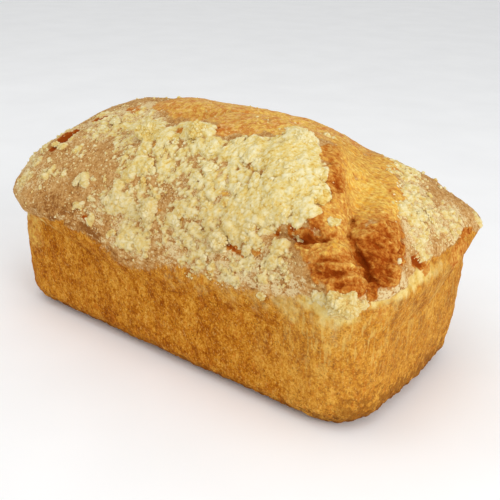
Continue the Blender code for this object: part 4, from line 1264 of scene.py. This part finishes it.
# ------------------------------------------------------------------ pieces
@dataclass
class Loaf:
    """The loaf's crust and wall, in fine relief."""

    form: LoafForm = field(default_factory=LoafForm)
    relief: CrustRelief = field(default_factory=CrustRelief)
    map: CrustMap = field(default_factory=CrustMap)
    finish: CrustFinish = field(default_factory=CrustFinish)
    cells_long: int = 250
    cells_wide: int = 150
    rows: Row = (14, 28, 18)  # quads up the bottom edge, wall and lip
    fine_cells: tuple[int, int] = (480, 310)  # of the sheets that break through the crust
    fine_side: Row = (0.62, 36)  # their lowest row of the side, and how many
    layers: tuple[Row, ...] = ((4.0, 0.9), (2.2, 0.8), (1.2, 0.4))  # torn crumb: size, height
    wrinkled: tuple[Row, ...] = (  # where it is in layers, and less elsewhere
        (68, -45, 76, 7, 1), (78, -47, 73, 9, 1), (86, -48, 70, 8, 1), (92, -45, 67, 6, 1),
        (93, -30, 79, 9, 1), (97, -34, 73, 8, 1), (100, -38, 66, 6, 1), (70, -24, 95, 5, 0.7),
        (74, -30, 89, 4, 0.7), (86, -2, 88, 6, 0.5), (60, -14, 101, 5, 0.6))
    layer_run: Row = (2.5, 0.9, -0.5)  # how far and which way the layers are drawn out
    floor_run: Row = (0.9, -1.8, -0.5)  # the same for the smooth floor of the crack
    floor_share: float = 0.35  # height of that floor's relief
    torn_heights: Row = (-0.75, 1.50)  # away from torn crumb, and what it adds
    torn_edge: Row = (0.25, 0.75)  # shares at which that starts and is full
    margin: float = 2.5  # how far past its spots a sheet is looked for
    least: float = 0.1  # share of such a spot at which it starts
    buried: Row = (-0.6, -0.35)  # how deep it goes, and the height at which it is cut
    wall_grain: tuple[Row, ...] = ((7.0, 0.40), (3.0, 0.36), (1.4, 0.24))  # size, height
    crust_grain: float = 0.75  # share of it that the crust has
    foot_crumbs: float = 0.9  # how far crumbs stand out above the base
    foot_zone: Row = (0.014, 0.005)  # heights at which they start and are full
    calm_foot: float = 0.003  # height below which fine relief dies out
    lowest: float = 0.0002  # least height of what doesn't stand on the floor
    step: Row = (1.1, 0.5)  # how far the crust's edge stands out: right end, elsewhere
    step_end: Row = (0.080, 0.100)  # where along the loaf the one becomes the other
    step_fade: float = 12.0  # height over the edge at which it dies out
    cut_wander: float = 0.5
    cleft_shade: float = 0.22  # painted shade in the clefts: darker by this for each millimetre of depth
    cuts: tuple[tuple[Row, ...], ...] = (  # narrow clefts: place, half width, height
        # crease of the crack
        ((78, -21, 84, 1.6, -0.5), (79.5, -25.5, 82, 1.4, -1.1), (81.5, -29.5, 80, 1.2, -1.9),
         (83.5, -34, 78, 1.2, -2.6), (86.5, -34.5, 75.5, 1.2, -2.6), (88.5, -35, 73, 1.3, -2.4),
         (91, -36, 70.5, 1.4, -2.2), (93.5, -37, 68.5, 1.5, -1.8), (95, -38, 66, 1.6, -1.0)),
        # under the fold, and the lobe's layers
        ((65, -42.5, 74.5, 1.0, -0.7), (70.5, -44, 75.5, 1.1, -1.6), (75, -43.5, 76, 1.1, -1.7),
         (78, -42, 77, 1.1, -1.3), (81, -40, 77.5, 1.0, -0.5)),
        ((76, -50, 73, 0.8, -0.4), (80, -49, 72.5, 0.8, -0.8), (84, -48.5, 73.5, 0.8, -0.8),
         (86.5, -47, 74, 0.8, -0.6), (89, -45, 73.5, 0.8, -0.3)),
        ((82, -49.5, 69, 0.9, -0.5), (85.5, -49, 68.5, 0.9, -1.1), (88.5, -48, 69.5, 0.9, -1.1),
         (91, -45.5, 70.5, 0.9, -0.8), (91.5, -40, 67, 0.9, -0.4)),
        ((85.5, -51.5, 66.5, 0.8, -0.4), (89, -51, 66, 0.8, -0.9), (91.5, -48, 67, 0.8, -0.8),
         (93.5, -45, 66, 0.8, -0.3)),
        # wrinkles of the ball
        ((83.5, -33.5, 78, 0.8, -0.6), (84, -30.5, 79.5, 0.8, -0.7), (88, -32, 82, 0.8, -0.5),
         (91, -31.5, 82.5, 0.8, -0.3)),
        ((90.5, -34.5, 79, 0.8, -0.5), (93.5, -34, 78.5, 0.8, -0.9), (96.5, -33, 77, 0.8, -0.9),
         (99, -31.5, 75.5, 0.8, -0.7), (100.5, -28, 74.5, 0.8, -0.3)),
        ((90.5, -30.5, 83, 0.7, -0.4), (94, -30.5, 81.5, 0.8, -0.7), (99.5, -28.5, 77, 0.7, -0.4)),
        ((89.5, -35, 74.5, 0.8, -0.5), (94, -36, 74, 0.8, -0.9), (98, -35, 73.5, 0.8, -0.8),
         (101, -31.5, 72.5, 0.8, -0.4)),
        ((94, -19, 82, 0.9, -0.5), (97.5, -21, 79.5, 1.0, -1.0), (100, -24.5, 76.5, 1.0, -1.0),
         (100.5, -28.5, 74, 0.9, -0.5)),
        ((95, -37, 70, 0.8, -0.7), (97.5, -37.5, 67, 0.8, -0.8), (100, -40, 64, 0.8, -0.4)),
        ((99, -35, 71.5, 0.7, -0.6), (101.5, -36.5, 68, 0.7, -0.7),
         (102.5, -38.5, 63.5, 0.7, -0.4)),
        # beside the crack's yellow floor
        ((63, -18, 99, 0.9, -0.4), (68, -22.5, 96.5, 1.0, -0.9), (72.5, -25.5, 93, 1.0, -0.9),
         (75, -30, 89, 0.8, -0.3)),
        ((72, 1, 90.5, 0.9, -0.3), (79, -3, 89.5, 1.0, -0.7), (86, -8, 87.5, 1.0, -0.7),
         (91, -10.5, 85, 0.9, -0.3)),
        # wrinkles along the crust's lower edge, left half of the front
        ((-63, -52.5, 60.5, 0.9, -0.3), (-56, -52.5, 59.5, 1.0, -0.7), (-50, -52, 58, 1.0, -0.8),
         (-43, -52.5, 56.5, 1.0, -0.7), (-36.5, -52.5, 55, 0.9, -0.3)),
        ((-59, -51, 63.5, 0.8, -0.3), (-51.5, -50.5, 62.5, 0.9, -0.6), (-44, -50, 61.5, 0.9, -0.7),
         (-36, -50, 60, 0.9, -0.6), (-28, -50.5, 59.5, 0.8, -0.3)),
        ((-53, -48.5, 66.5, 0.8, -0.3), (-44.5, -48, 65.5, 0.8, -0.6),
         (-35, -48.5, 64, 0.8, -0.3)),
        ((-28, -51, 58, 0.8, -0.3), (-16, -51, 56.5, 0.8, -0.6), (-6.5, -51.5, 55.5, 0.8, -0.5),
         (5, -51.5, 55, 0.8, -0.3)),
        # creases below the crumble's main bed, edge of the golden hollow left of it
        ((32, -48, 68.3, 0.8, -0.4), (37, -48.2, 67.5, 0.9, -0.9), (41, -49, 66.6, 0.9, -1.0),
         (46.5, -49, 65, 0.8, -0.4)),
        ((56, -43, 75.6, 0.8, -0.4), (60, -43, 74.6, 0.9, -0.8), (64, -43.5, 74, 0.8, -0.5)),
        ((9, -22.3, 102.3, 0.8, -0.4), (9.2, -20.5, 102.8, 0.9, -0.9),
         (10, -18.5, 103, 0.8, -0.4)),
        # hollows of the right end and tears of the left
        ((102, -20.5, 71.5, 1.2, -1.2), (103, -19.5, 69.5, 1.4, -1.6), (104, -18, 67.5, 1.6, -1.6),
         (105, -15, 66.5, 1.3, -0.8)),
        ((-82, -35, 79, 1.6, -0.8), (-82.5, -31, 81, 2.4, -1.0), (-81.5, -27, 83.5, 2.4, -1.2),
         (-80, -22, 85.5, 1.8, -0.9), (-78.5, -18, 87, 1.2, -0.6)),
        ((-78, -11, 88.5, 1.2, -0.6), (-72.5, -11.5, 91, 1.4, -0.8), (-70.5, -9, 92, 1.2, -0.6)))

    def fine_height(self, points: Points, placed: Points, masks: dict[Mask, Values],
                    above: Values) -> Values:
        """Relief too fine for the solid, in millimetres.

        Args:
            points: Points of the smooth form.
            placed: The same points in the solid's relief.
            masks: The finish's masks there.
            above: Height over the crust's lower edge, in millimetres.

        Returns:
            One height for each point.
        """
        height = np.zeros(len(points))
        moved = placed + self.cut_wander * MM * drift_field(points, 0.004, (91, 92, 93))
        for cut in self.cuts:
            height += line_field(moved, cut) / MM
        # painted shade: baked crust darkens the deeper a cleft is
        masks[Mask.BAKE] -= self.cleft_shade * height
        for seed, (size, depth) in enumerate(self.wall_grain, start=80):
            grain = noise_field(points, size * MM, seed)
            height += depth * grain * (self.crust_grain
                                       + (1 - self.crust_grain) * smooth_step(above, 1.0, -1.0))
        height += (self.foot_crumbs * smooth_step(points[:, 2], *self.foot_zone)
                   * noise_field(points, 0.0028, 97))
        right = smooth_step(points[:, 0], *self.step_end)
        thick = self.step[1] + (self.step[0] - self.step[1]) * right
        lip = smooth_step(masks[Mask.EDGE], -0.5, 1.0) - 0.3
        return height + thick * lip * np.clip(1 - above / self.step_fade, 0, 1)

    def surface(self, cells_long: int, cells_wide: int, rows: Sequence[float],
                wanted: Callable[[Points], Values] | None = None
                ) -> tuple[bmesh.types.BMesh, Points, dict[Mask, Values]]:
        """Lay a mesh over the loaf, in all its relief.

        Args:
            cells_long: Quads along the loaf.
            cells_wide: Quads across it.
            rows: Rows of the side, from 0 to 1.
            wanted: Tells which points of the form are wanted; all are without it.

        Returns:
            The mesh, its points on the smooth form and the masks there.
        """
        bm, points, theta = self.form.shell(cells_long, cells_wide, rows)
        if wanted is not None:
            left = cut_away(bm, ~wanted(points))
            points, theta = points[left], theta[left]
            bm.normal_update()
        masks, above = self.map.fields(points, theta)
        raise_surface(bm, self.relief.height(points))
        bm.normal_update()
        placed = np.array([v.co for v in bm.verts])
        fine = self.fine_height(points, placed, masks, above)
        foot = np.clip(points[:, 2] / self.calm_foot, 0, 1)
        raise_surface(bm, fine * foot * MM, self.lowest)
        masks[Mask.HEIGHT] = fine
        return bm, points, masks

    def sheet(self, name: str, spots: Iterable[Row], material: bpy.types.Material, slot: str,
              rise: Callable[[Points, dict[Mask, Values]], Values],
              values: Callable[[Points, dict[Mask, Values]], dict[Mask, Values]]
              ) -> bpy.types.Object:
        """Make a fine sheet that breaks through the crust where it rises.

        Args:
            name: Name of the piece.
            spots: Where the sheet may lie, in millimetres.
            material: Its finish.
            slot: The record's material slot that it belongs to; not used.
            rise: Gives its height over the crust at each point, in millimetres.
            values: Gives what its finish needs at each point.

        Returns:
            The piece, without the parts that are buried.
        """
        near = [(x, y, z, radius + self.margin, share) for x, y, z, radius, share in spots]
        rows = (0, *np.linspace(self.fine_side[0], 1, int(self.fine_side[1])))
        bm, points, masks = self.surface(
            *self.fine_cells, rows, lambda places: spot_field(places, near) > self.least)
        deepest, cut_below = self.buried
        lift = np.maximum(rise(points, masks), deepest)
        masks[Mask.HEIGHT] = lift
        raise_surface(bm, lift * MM)
        left = cut_away(bm, lift < cut_below)
        mesh = mesh_from(name, bm)
        add_values(mesh, {mask: numbers[left]
                          for mask, numbers in values(points, masks).items()})
        piece = mesh_object(name, mesh, material)
        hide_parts("loaf")
        return piece

    def torn_rise(self, points: Points, masks: dict[Mask, Values]) -> Values:
        """Height of the torn crumb over the crust.

        Args:
            points: Points of the form, in metres.
            masks: The loaf's masks there.

        Returns:
            One height for each point, in millimetres.
        """
        moved = points + MM * drift_field(points, 0.005, (94, 95, 96))
        layered = spot_field(points, self.wrinkled)
        rise = (self.torn_heights[0]
                + self.torn_heights[1] * smooth_step(masks[Mask.TORN], *self.torn_edge))
        for seed, (size, height) in enumerate(self.layers, start=70):
            smooth = self.floor_share * noise_field(drawn_out(moved, self.floor_run),
                                                    size * MM, seed)
            layer = ridge_field(moved, size * MM, seed + 5, self.layer_run)
            rise += height * (smooth + (layer - smooth) * layered) * masks[Mask.TORN]
        return rise

    def build(self) -> list[bpy.types.Object]:
        """Make the loaf's pieces, which stand for the loaf's solid.

        Returns:
            The crust, and the torn crumb that breaks through it.
        """
        rows = np.interp(np.arange(sum(self.rows) + 1), np.cumsum((0, *self.rows)),
                         (0, self.form.round_end, self.form.wall_end, 1))
        bm, _, masks = self.surface(self.cells_long, self.cells_wide, rows)
        bmesh.ops.recalc_face_normals(bm, faces=bm.faces)
        mesh = mesh_from("loaf_crust", bm)
        add_values(mesh, masks)
        material = self.finish.material()
        piece = mesh_object("loaf_crust", mesh, material)
        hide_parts("loaf")
        torn = self.sheet("loaf_torn", self.map.torn, material, "crust", self.torn_rise,
                          lambda points, masks: masks)
        return [piece, torn]


@dataclass(frozen=True)
class Crumb:
    """One crumb or lump."""

    middle: Vector
    half_sizes: Row
    turn: float  # about its own upright axis, in degrees
    tilt: Matrix  # takes +Z to the crust's normal
    jitter: float  # how uneven it is
    swell: float  # size of that unevenness, in metres
    seed: int

    @property
    def up(self) -> Vector:
        """Direction away from the crust."""
        return self.tilt.to_3x3() @ Vector((0, 0, 1))

    def ball(self, divisions: int, grains: Sequence[Row]
             ) -> tuple[bmesh.types.BMesh, list[float]]:
        """Make the crumb's mesh.

        Args:
            divisions: How often the ball it starts from is divided.
            grains: Size and height of each finer relief, in millimetres.

        Returns:
            The mesh, in place, and how high each vertex lies in the finer relief.
        """
        full = sum(height for _, height in grains)
        heights = []
        bm = bmesh.new()
        bmesh.ops.create_icosphere(bm, subdivisions=divisions, radius=1.0)
        shift = Vector((self.seed * 1.7, self.seed * 2.3, self.seed * 3.9))
        bm.transform(Matrix.Diagonal((*self.half_sizes, 1.0)))
        for vert in bm.verts:
            lift = sum(height * nodule(vert.co / (size * MM) + shift)
                       for size, height in grains)
            heights.append(lift / full if grains else PLAIN_GRAIN)
            lift -= MEAN_NODULE * full
            vert.co *= 1 + 2 * self.jitter * noise.noise(vert.co / self.swell + shift)
            vert.co += vert.co.normalized() * lift * MM
        bm.transform(Matrix.Rotation(math.radians(self.turn), 4, "Z"))
        bm.transform(Matrix.Translation(self.middle) @ self.tilt)
        return bm, heights


@dataclass(frozen=True)
class LooseCrumbs:
    """Crumbs of one kind, strewn over the crust where the crumble lies."""

    name: str
    count: int
    sizes: Row  # smallest and largest, in millimetres
    gather: float  # the larger, the more in the thick beds
    seed: int  # of places and shapes; the next is of tints
    divisions: int  # how often each one's ball is divided
    grains: tuple[Row, ...] = ()  # size and height of each one's nodules
    smooth: bool = True
    fall: float = 1.8  # the larger, the more of them are small
    stretch: Row = (0.7, 1.35)  # shortest and longest side, of the size
    flatness: float = 0.7
    jitter: float = 0.32
    aside: float = 0.4  # how far from the middle of a face, at most
    stand: float = 0.15  # of half the size, over the crust
    bare: float = 0.15  # share of crumble that bears none of them
    dust: float = 0.03  # chance of one on the plain crust
    dust_edge: Row = (0.0, 3.0)  # over the crust's lower edge: none, all
    shed: float = 0.96  # how much of the dust baked places lack
    lowest: float = 0.030  # none lies lower than this

    def chances(self, mesh: bpy.types.Mesh, heights: Values) -> Values:
        """How likely a crumb is to lie on each face.

        Args:
            mesh: The finished crust.
            heights: Height of each face's middle.

        Returns:
            One chance for each face; together they are 1.
        """
        crumble, edge, baked = (face_mask(mesh, mask)
                                for mask in (Mask.CRUMBLE, Mask.EDGE, Mask.BAKED))
        dust = self.dust * smooth_step(edge, *self.dust_edge)
        dust *= 1 - self.shed * np.clip(baked, 0, 1)
        chance = face_values(mesh, "area", 1)[:, 0] * (
            np.clip(crumble - self.bare, 0, 1) ** self.gather + dust)
        chance[heights < self.lowest] = 0
        return chance / chance.sum()

    def strewn(self, surface: bpy.types.Object) -> list[Crumb]:
        """Strew the crumbs over the crust.

        Args:
            surface: The finished crust.

        Returns:
            The crumbs.
        """
        rng = np.random.default_rng(self.seed)
        centre = face_values(surface.data, "center", 3)
        normal = face_values(surface.data, "normal", 3)
        picks = rng.choice(len(centre), self.count, p=self.chances(surface.data, centre[:, 2]))
        smallest, largest = self.sizes
        made = []
        for number, pick in enumerate(picks):
            size = (smallest + (largest - smallest) * rng.random() ** self.fall) * MM
            half = size / 2
            halves = tuple(half * rng.uniform(*self.stretch, 3) * (1, 1, self.flatness))
            up = Vector(normal[pick])
            aside = Vector(rng.uniform(-self.aside, self.aside, 3) * MM)
            spot = Vector(centre[pick]) + aside - up * aside.dot(up)
            made.append(Crumb(spot + up * half * self.stand, halves, rng.uniform(0, 360),
                              up.to_track_quat("Z", "Y").to_matrix().to_4x4(), self.jitter,
                              size, number + self.seed * 100))
        return made


@dataclass
class Crumble:
    """The crumble topping: six lumps, the crumbs fused to the solid, and finer crumbs."""

    loaf: Loaf
    finish: CrumbleFinish = field(default_factory=CrumbleFinish)
    material: bpy.types.Material = field(init=False)
    # the lumps: name, middle and half sizes in millimetres, turn in degrees
    lumps: tuple[tuple[str, Row, Row, float], ...] = (
        ("crumble_lump_corner", (92.5, -50.5, 60.0), (6.4, 4.6, 5.6), 38.0),
        ("crumble_lump_crest", (48.0, -15.5, 103.2), (6.8, 5.6, 4.4), 20.0),
        ("crumble_lump_back", (2.5, -23.5, 100.0), (5.8, 5.0, 5.0), 35.0),
        ("crumble_lump_left", (-25.0, -25.0, 95.5), (7.0, 5.4, 4.0), 15.0),
        ("crumble_lump_front", (34.5, -49.0, 67.5), (4.4, 3.6, 3.6), 10.0),
        ("crumble_lump_low", (-5.0, -47.5, 68.5), (3.0, 3.4, 5.6), 0.0))
    lump_jitter: float = 0.20
    lump_swell: float = 0.0045
    lump_grains: tuple[Row, ...] = ((3.2, 0.5), (1.5, 0.6), (0.8, 0.3))  # size, height
    lump_share: float = 0.94  # of the lumps' size, without their nodules
    lump_divisions: int = 6
    lump_foot: float = -0.3  # how far up a lump is toasted and painted in shade
    # the crumbs that are fused to the solid, by the rule that made them there
    fused: int = 132
    fused_sizes: Row = (5.6, 2.6, 2.0)  # largest, smallest, and how fast they fall
    fused_stretch: Row = (0.75, 1.3)  # shortest and longest side, of the size
    fused_flatness: float = 0.70
    fused_sink: float = 0.30  # of half the size, into the crust
    fused_spacing: float = 0.42  # least distance of two, of their sizes' sum
    fused_room: Row = (0.8, 0.001)  # from a lump: of the size, and more metres
    fused_tries: int = 60  # for each crumb, before the rule gives up
    fused_lowest: float = 0.8  # none lies lower, of the rim's height
    fused_jitter: float = 0.26
    fused_gather: float = 2.0  # the larger, the more in the thick patches
    fused_seed: int = 11
    fused_grains: tuple[Row, ...] = ((1.9, 0.55), (0.95, 0.45))  # size, height
    fused_divisions: int = 4
    fused_tints: int = 5  # seed of the fused crumbs' tints
    spread: Row = (1.18, 0.60)  # of the fused crumbs: wider and flatter
    lowered: float = 0.6  # how much of what that takes off is below
    guide_cells: tuple[int, int] = (58, 32)
    guide_rows: Row = (0, 0.05, 0.10, 0.15, 0.45, 0.75, 0.84, 0.92, 1)
    # the powdery beds, whose nodules and swells are given by size and height
    bed_heights: Row = (-0.85, 2.6)  # without crumble, and what a full bed adds
    bed_nodules: tuple[Row, ...] = ((3.0, 0.40), (1.3, 0.50))
    bed_swells: tuple[Row, ...] = ((5.0, 0.6), (2.2, 0.5), (0.9, 0.2))
    bed_step: float = 0.35  # how high a bed's edge stands
    bed_climb: float = 0.7  # how much of its height the rest keeps
    bed_toast_and_shade: Row = (0.7, 0.9)  # browning and painted shade at the crust, and how fast it goes upwards
    loose: tuple[LooseCrumbs, ...] = (
        LooseCrumbs("crumbs_medium", 520, (1.0, 2.3), 1.5, 21, 2, ((1.9, 0.55), (0.95, 0.45))),
        LooseCrumbs("crumbs_fine", 8000, (0.4, 1.2), 0.8, 31, 1, smooth=False))

    def __post_init__(self) -> None:
        """Make the material that its pieces share."""
        self.material = self.finish.material()

    def lump_crumbs(self) -> list[tuple[str, Crumb]]:
        """The six lumps as their solids are.

        Returns:
            Name and crumb of each.
        """
        made = []
        for number, (name, middle, half, turn) in enumerate(self.lumps):
            made.append((name, Crumb(Vector(middle) * MM, tuple(s * MM for s in half), turn,
                                     Matrix.Identity(4), self.lump_jitter,
                                     self.lump_swell, number + 1)))
        return made

    def guide(self) -> bpy.types.Mesh:
        """Make the loaf as coarse as its solid, which the fused crumbs were strewn over.

        Returns:
            Its mesh, in triangles.
        """
        bm, points, _ = self.loaf.form.shell(*self.guide_cells, self.guide_rows)
        raise_surface(bm, self.loaf.relief.height(points))
        bmesh.ops.triangulate(bm, faces=bm.faces)
        bmesh.ops.recalc_face_normals(bm, faces=bm.faces)
        return mesh_from("guide", bm)

    def fused_crumbs(self) -> list[Crumb]:
        """The crumbs that are fused to the solid, by the rule that strewed them there.

        Returns:
            The crumbs, each in its place.
        """
        rng = random.Random(self.fused_seed)
        mesh = self.guide()
        lowest = self.loaf.form.rim_height * self.fused_lowest
        faces = [f for f in mesh.polygons if f.center.z > lowest]
        centres = np.array([f.center for f in faces])
        weights = (np.array([f.area for f in faces])
                   * self.loaf.relief.cover(centres) ** self.fused_gather)
        total = np.cumsum(weights / weights.sum())
        lumps = [(c.middle, max(c.half_sizes) * (1 + self.lump_jitter))
                 for _, c in self.lump_crumbs()]
        largest, smallest, fall = self.fused_sizes
        share, room = self.fused_room
        placed: list[tuple[Vector, float]] = []
        made: list[Crumb] = []
        for _ in range(self.fused * self.fused_tries):
            if len(placed) >= self.fused:
                break
            order = len(placed) / self.fused
            size = (smallest + (largest - smallest) * (1 - order) ** fall) * MM
            face = faces[int(np.searchsorted(total, rng.random()))]
            first, second, third = (mesh.vertices[i].co for i in face.vertices)
            a, b = rng.random(), rng.random()
            spot = (first * (1 - a) * (1 - b) + second * a * (1 - b)
                    + third * a * b + third * (1 - a) * b)
            if any((spot - at).length < reach + size * share + room for at, reach in lumps):
                continue
            if any((spot - other).length < self.fused_spacing * (size + wide)
                   for other, wide in placed):
                continue
            placed.append((spot, size))
            half = size / 2
            halves = [half * rng.uniform(*self.fused_stretch) for _ in range(3)]
            halves[2] *= self.fused_flatness
            turn = rng.uniform(0, 360)
            tilt = face.normal.to_track_quat("Z", "Y").to_matrix().to_4x4()
            middle = spot + face.normal * half * (self.fused_flatness - self.fused_sink)
            made.append(Crumb(middle, tuple(halves), turn, tilt, self.fused_jitter, size,
                              len(placed)))
        bpy.data.meshes.remove(mesh)
        return made

    def join(self, name: str, crumbs: Sequence[Crumb], divisions: int,
             grains: Sequence[Row], seed: int, foot: float = 0.5) -> bpy.types.Object:
        """Make one piece of many crumbs.

        Args:
            name: Name of the piece.
            crumbs: The crumbs.
            divisions: How often each one's ball is divided.
            grains: Size and height of each one's finer relief, in millimetres.
            seed: Seed of the crumbs' tints.
            foot: How far up each crumb is toasted and painted in shade.

        Returns:
            The piece, with a tint for each crumb and a foot that is toasted and painted in shade.
        """
        rng = random.Random(seed)
        points, faces, tints, toasts_and_shades, nodules = [], [], [], [], []
        for crumb in crumbs:
            bm, heights = crumb.ball(divisions, grains)
            nodules.extend(heights)
            start = len(points)
            points.extend(v.co.to_tuple() for v in bm.verts)
            faces.extend(tuple(v.index + start for v in f.verts) for f in bm.faces)
            tints.extend([rng.random()] * len(bm.verts))
            # each vertex is toasted and painted in shade the nearer it lies to the crumb's foot
            up, reach = crumb.up, crumb.half_sizes[2]
            toasts_and_shades.extend(min(1.0, max(0.0, foot - (v.co - crumb.middle).dot(up) / reach))
                          for v in bm.verts)
            bm.free()
        mesh = bpy.data.meshes.new(name)
        mesh.from_pydata(points, [], faces)
        add_values(mesh, {Mask.TINT: tints, Mask.TOAST: toasts_and_shades, Mask.GRAIN: nodules})
        return mesh_object(name, mesh, self.material)

    def build(self, surface: bpy.types.Object) -> list[bpy.types.Object]:
        """Make every piece of the crumble.

        Args:
            surface: The finished crust.

        Returns:
            The pieces.
        """
        pieces = [self.loaf.sheet("crumble_bed", self.loaf.map.crumble, self.material, "crumble",
                                  self.bed_rise, self.bed_values)]
        for name, crumb in self.lump_crumbs():
            crumb = replace(crumb, half_sizes=tuple(s * self.lump_share
                                                    for s in crumb.half_sizes))
            piece = self.join(name + "_fine", [crumb], self.lump_divisions, self.lump_grains,
                              crumb.seed, self.lump_foot)
            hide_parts(name)
            pieces.append(piece)
        wide, flat = self.spread
        large = []
        for crumb in self.fused_crumbs():
            long, broad, high = crumb.half_sizes
            middle = crumb.middle - crumb.up * high * (1 - flat) * self.lowered
            large.append(replace(crumb, middle=middle,
                                 half_sizes=(long * wide, broad * wide, high * flat)))
        pieces.append(self.join("crumbs_large", large, self.fused_divisions,
                                self.fused_grains, self.fused_tints))
        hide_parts("loaf")
        for kind in self.loose:
            piece = self.join(kind.name, kind.strewn(surface), kind.divisions, kind.grains,
                              kind.seed + 1)
            if not kind.smooth:
                piece.data.shade_flat()
            pieces.append(piece)
        return pieces

    def bed_rise(self, points: Points, masks: dict[Mask, Values]) -> Values:
        """Height of the crumble over the crust.

        Args:
            points: Points of the form, in metres.
            masks: The loaf's masks there, which the beds' grain is added to.

        Returns:
            One height for each point, in millimetres.
        """
        rise = self.bed_heights[0] + self.bed_heights[1] * masks[Mask.CRUMBLE]
        masks[Mask.GRAIN] = np.zeros(len(points))
        for seed, (size, height) in enumerate(self.bed_nodules, start=60):
            nodules = nodule_field(points, size * MM, seed)
            rise += height * (nodules - MEAN_NODULE)
            masks[Mask.GRAIN] += nodules / len(self.bed_nodules)
        for seed, (size, height) in enumerate(self.bed_swells, start=65):
            rise += height * noise_field(points, size * MM, seed)
        return np.where(rise > 0, self.bed_step * smooth_step(rise, 0, 0.3)
                        + self.bed_climb * rise, rise)

    def bed_values(self, points: Points, masks: dict[Mask, Values]) -> dict[Mask, Values]:
        """What the finish of the crumble's beds reads.

        Args:
            points: Points of the form, in metres.
            masks: The masks there, with the beds' height and grain.

        Returns:
            Tint, toast with painted shade in the low places, and grain of each point.
        """
        foot, fall = self.bed_toast_and_shade
        return {Mask.TINT: 0.5 + 0.5 * noise_field(points, 0.002, 68),
                Mask.TOAST: np.clip(foot - fall * masks[Mask.HEIGHT], 0, 1),
                Mask.GRAIN: masks[Mask.GRAIN]}


@dataclass
class Studio:
    """Pale floor, soft light and the camera at the picture's angle."""

    eye: Row = (0.2082, -0.2607, 0.1849)
    aim: Row = (0.011, 0.0025, 0.0396)
    roll: float = 1.4327  # in degrees
    lens: float = 55.0
    sensor: float = 36.0
    floor_size: float = 8.0
    daylight: float = 0.72
    middle: Row = (0, 0, 0.05)  # what the lamps face
    lamps: tuple[tuple[str, Row, float, float], ...] = (
        ("softbox_top", (0.10, -0.25, 0.85), 0.80, 1.5),
        ("softbox_left", (-0.75, -0.60, 0.45), 0.70, 0.8),
        ("softbox_right", (0.90, -0.25, 0.40), 0.60, 3.9))

    def build(self) -> None:
        """Make the floor, the lights and the camera."""
        scene = bpy.context.scene
        bm = bmesh.new()
        bmesh.ops.create_grid(bm, x_segments=4, y_segments=4, size=self.floor_size / 2)
        mesh = mesh_from("floor", bm)
        mesh.materials.append(FloorFinish().material())
        floor = bpy.data.objects.new("floor", mesh)
        scene.collection.objects.link(floor)
        world = bpy.data.worlds.new("studio")
        scene.world = world
        world.use_nodes = True
        back = world.node_tree.nodes["Background"]
        back.inputs["Color"].default_value = (1.0, 1.0, 1.0, 1.0)
        back.inputs["Strength"].default_value = self.daylight
        for name, place, size, power in self.lamps:
            lamp = bpy.data.lights.new(name, "AREA")
            lamp.shape, lamp.size, lamp.energy = "DISK", size, power
            holder = bpy.data.objects.new(name, lamp)
            holder.matrix_world = facing(place, self.middle)
            scene.collection.objects.link(holder)
        data = bpy.data.cameras.new("camera")
        data.lens, data.sensor_width = self.lens, self.sensor
        camera = bpy.data.objects.new("camera", data)
        camera.matrix_world = (facing(self.eye, self.aim)
                               @ Matrix.Rotation(math.radians(self.roll), 4, "Z"))
        scene.collection.objects.link(camera)
        scene.camera = camera
        scene.view_settings.view_transform = "Standard"


def main() -> None:
    """Build the loaf, its crumble and the studio, and report each piece."""
    logging.basicConfig(level=logging.INFO, format="%(message)s")
    Studio().build()
    loaf = Loaf()
    crust = loaf.build()
    for piece in [*crust, *Crumble(loaf).build(crust[0])]:
        triangles = sum(len(p.vertices) - 2 for p in piece.data.polygons)
        LOG.info("%s: %d triangles", piece.name, triangles)


if __name__ == "__main__":
    main()
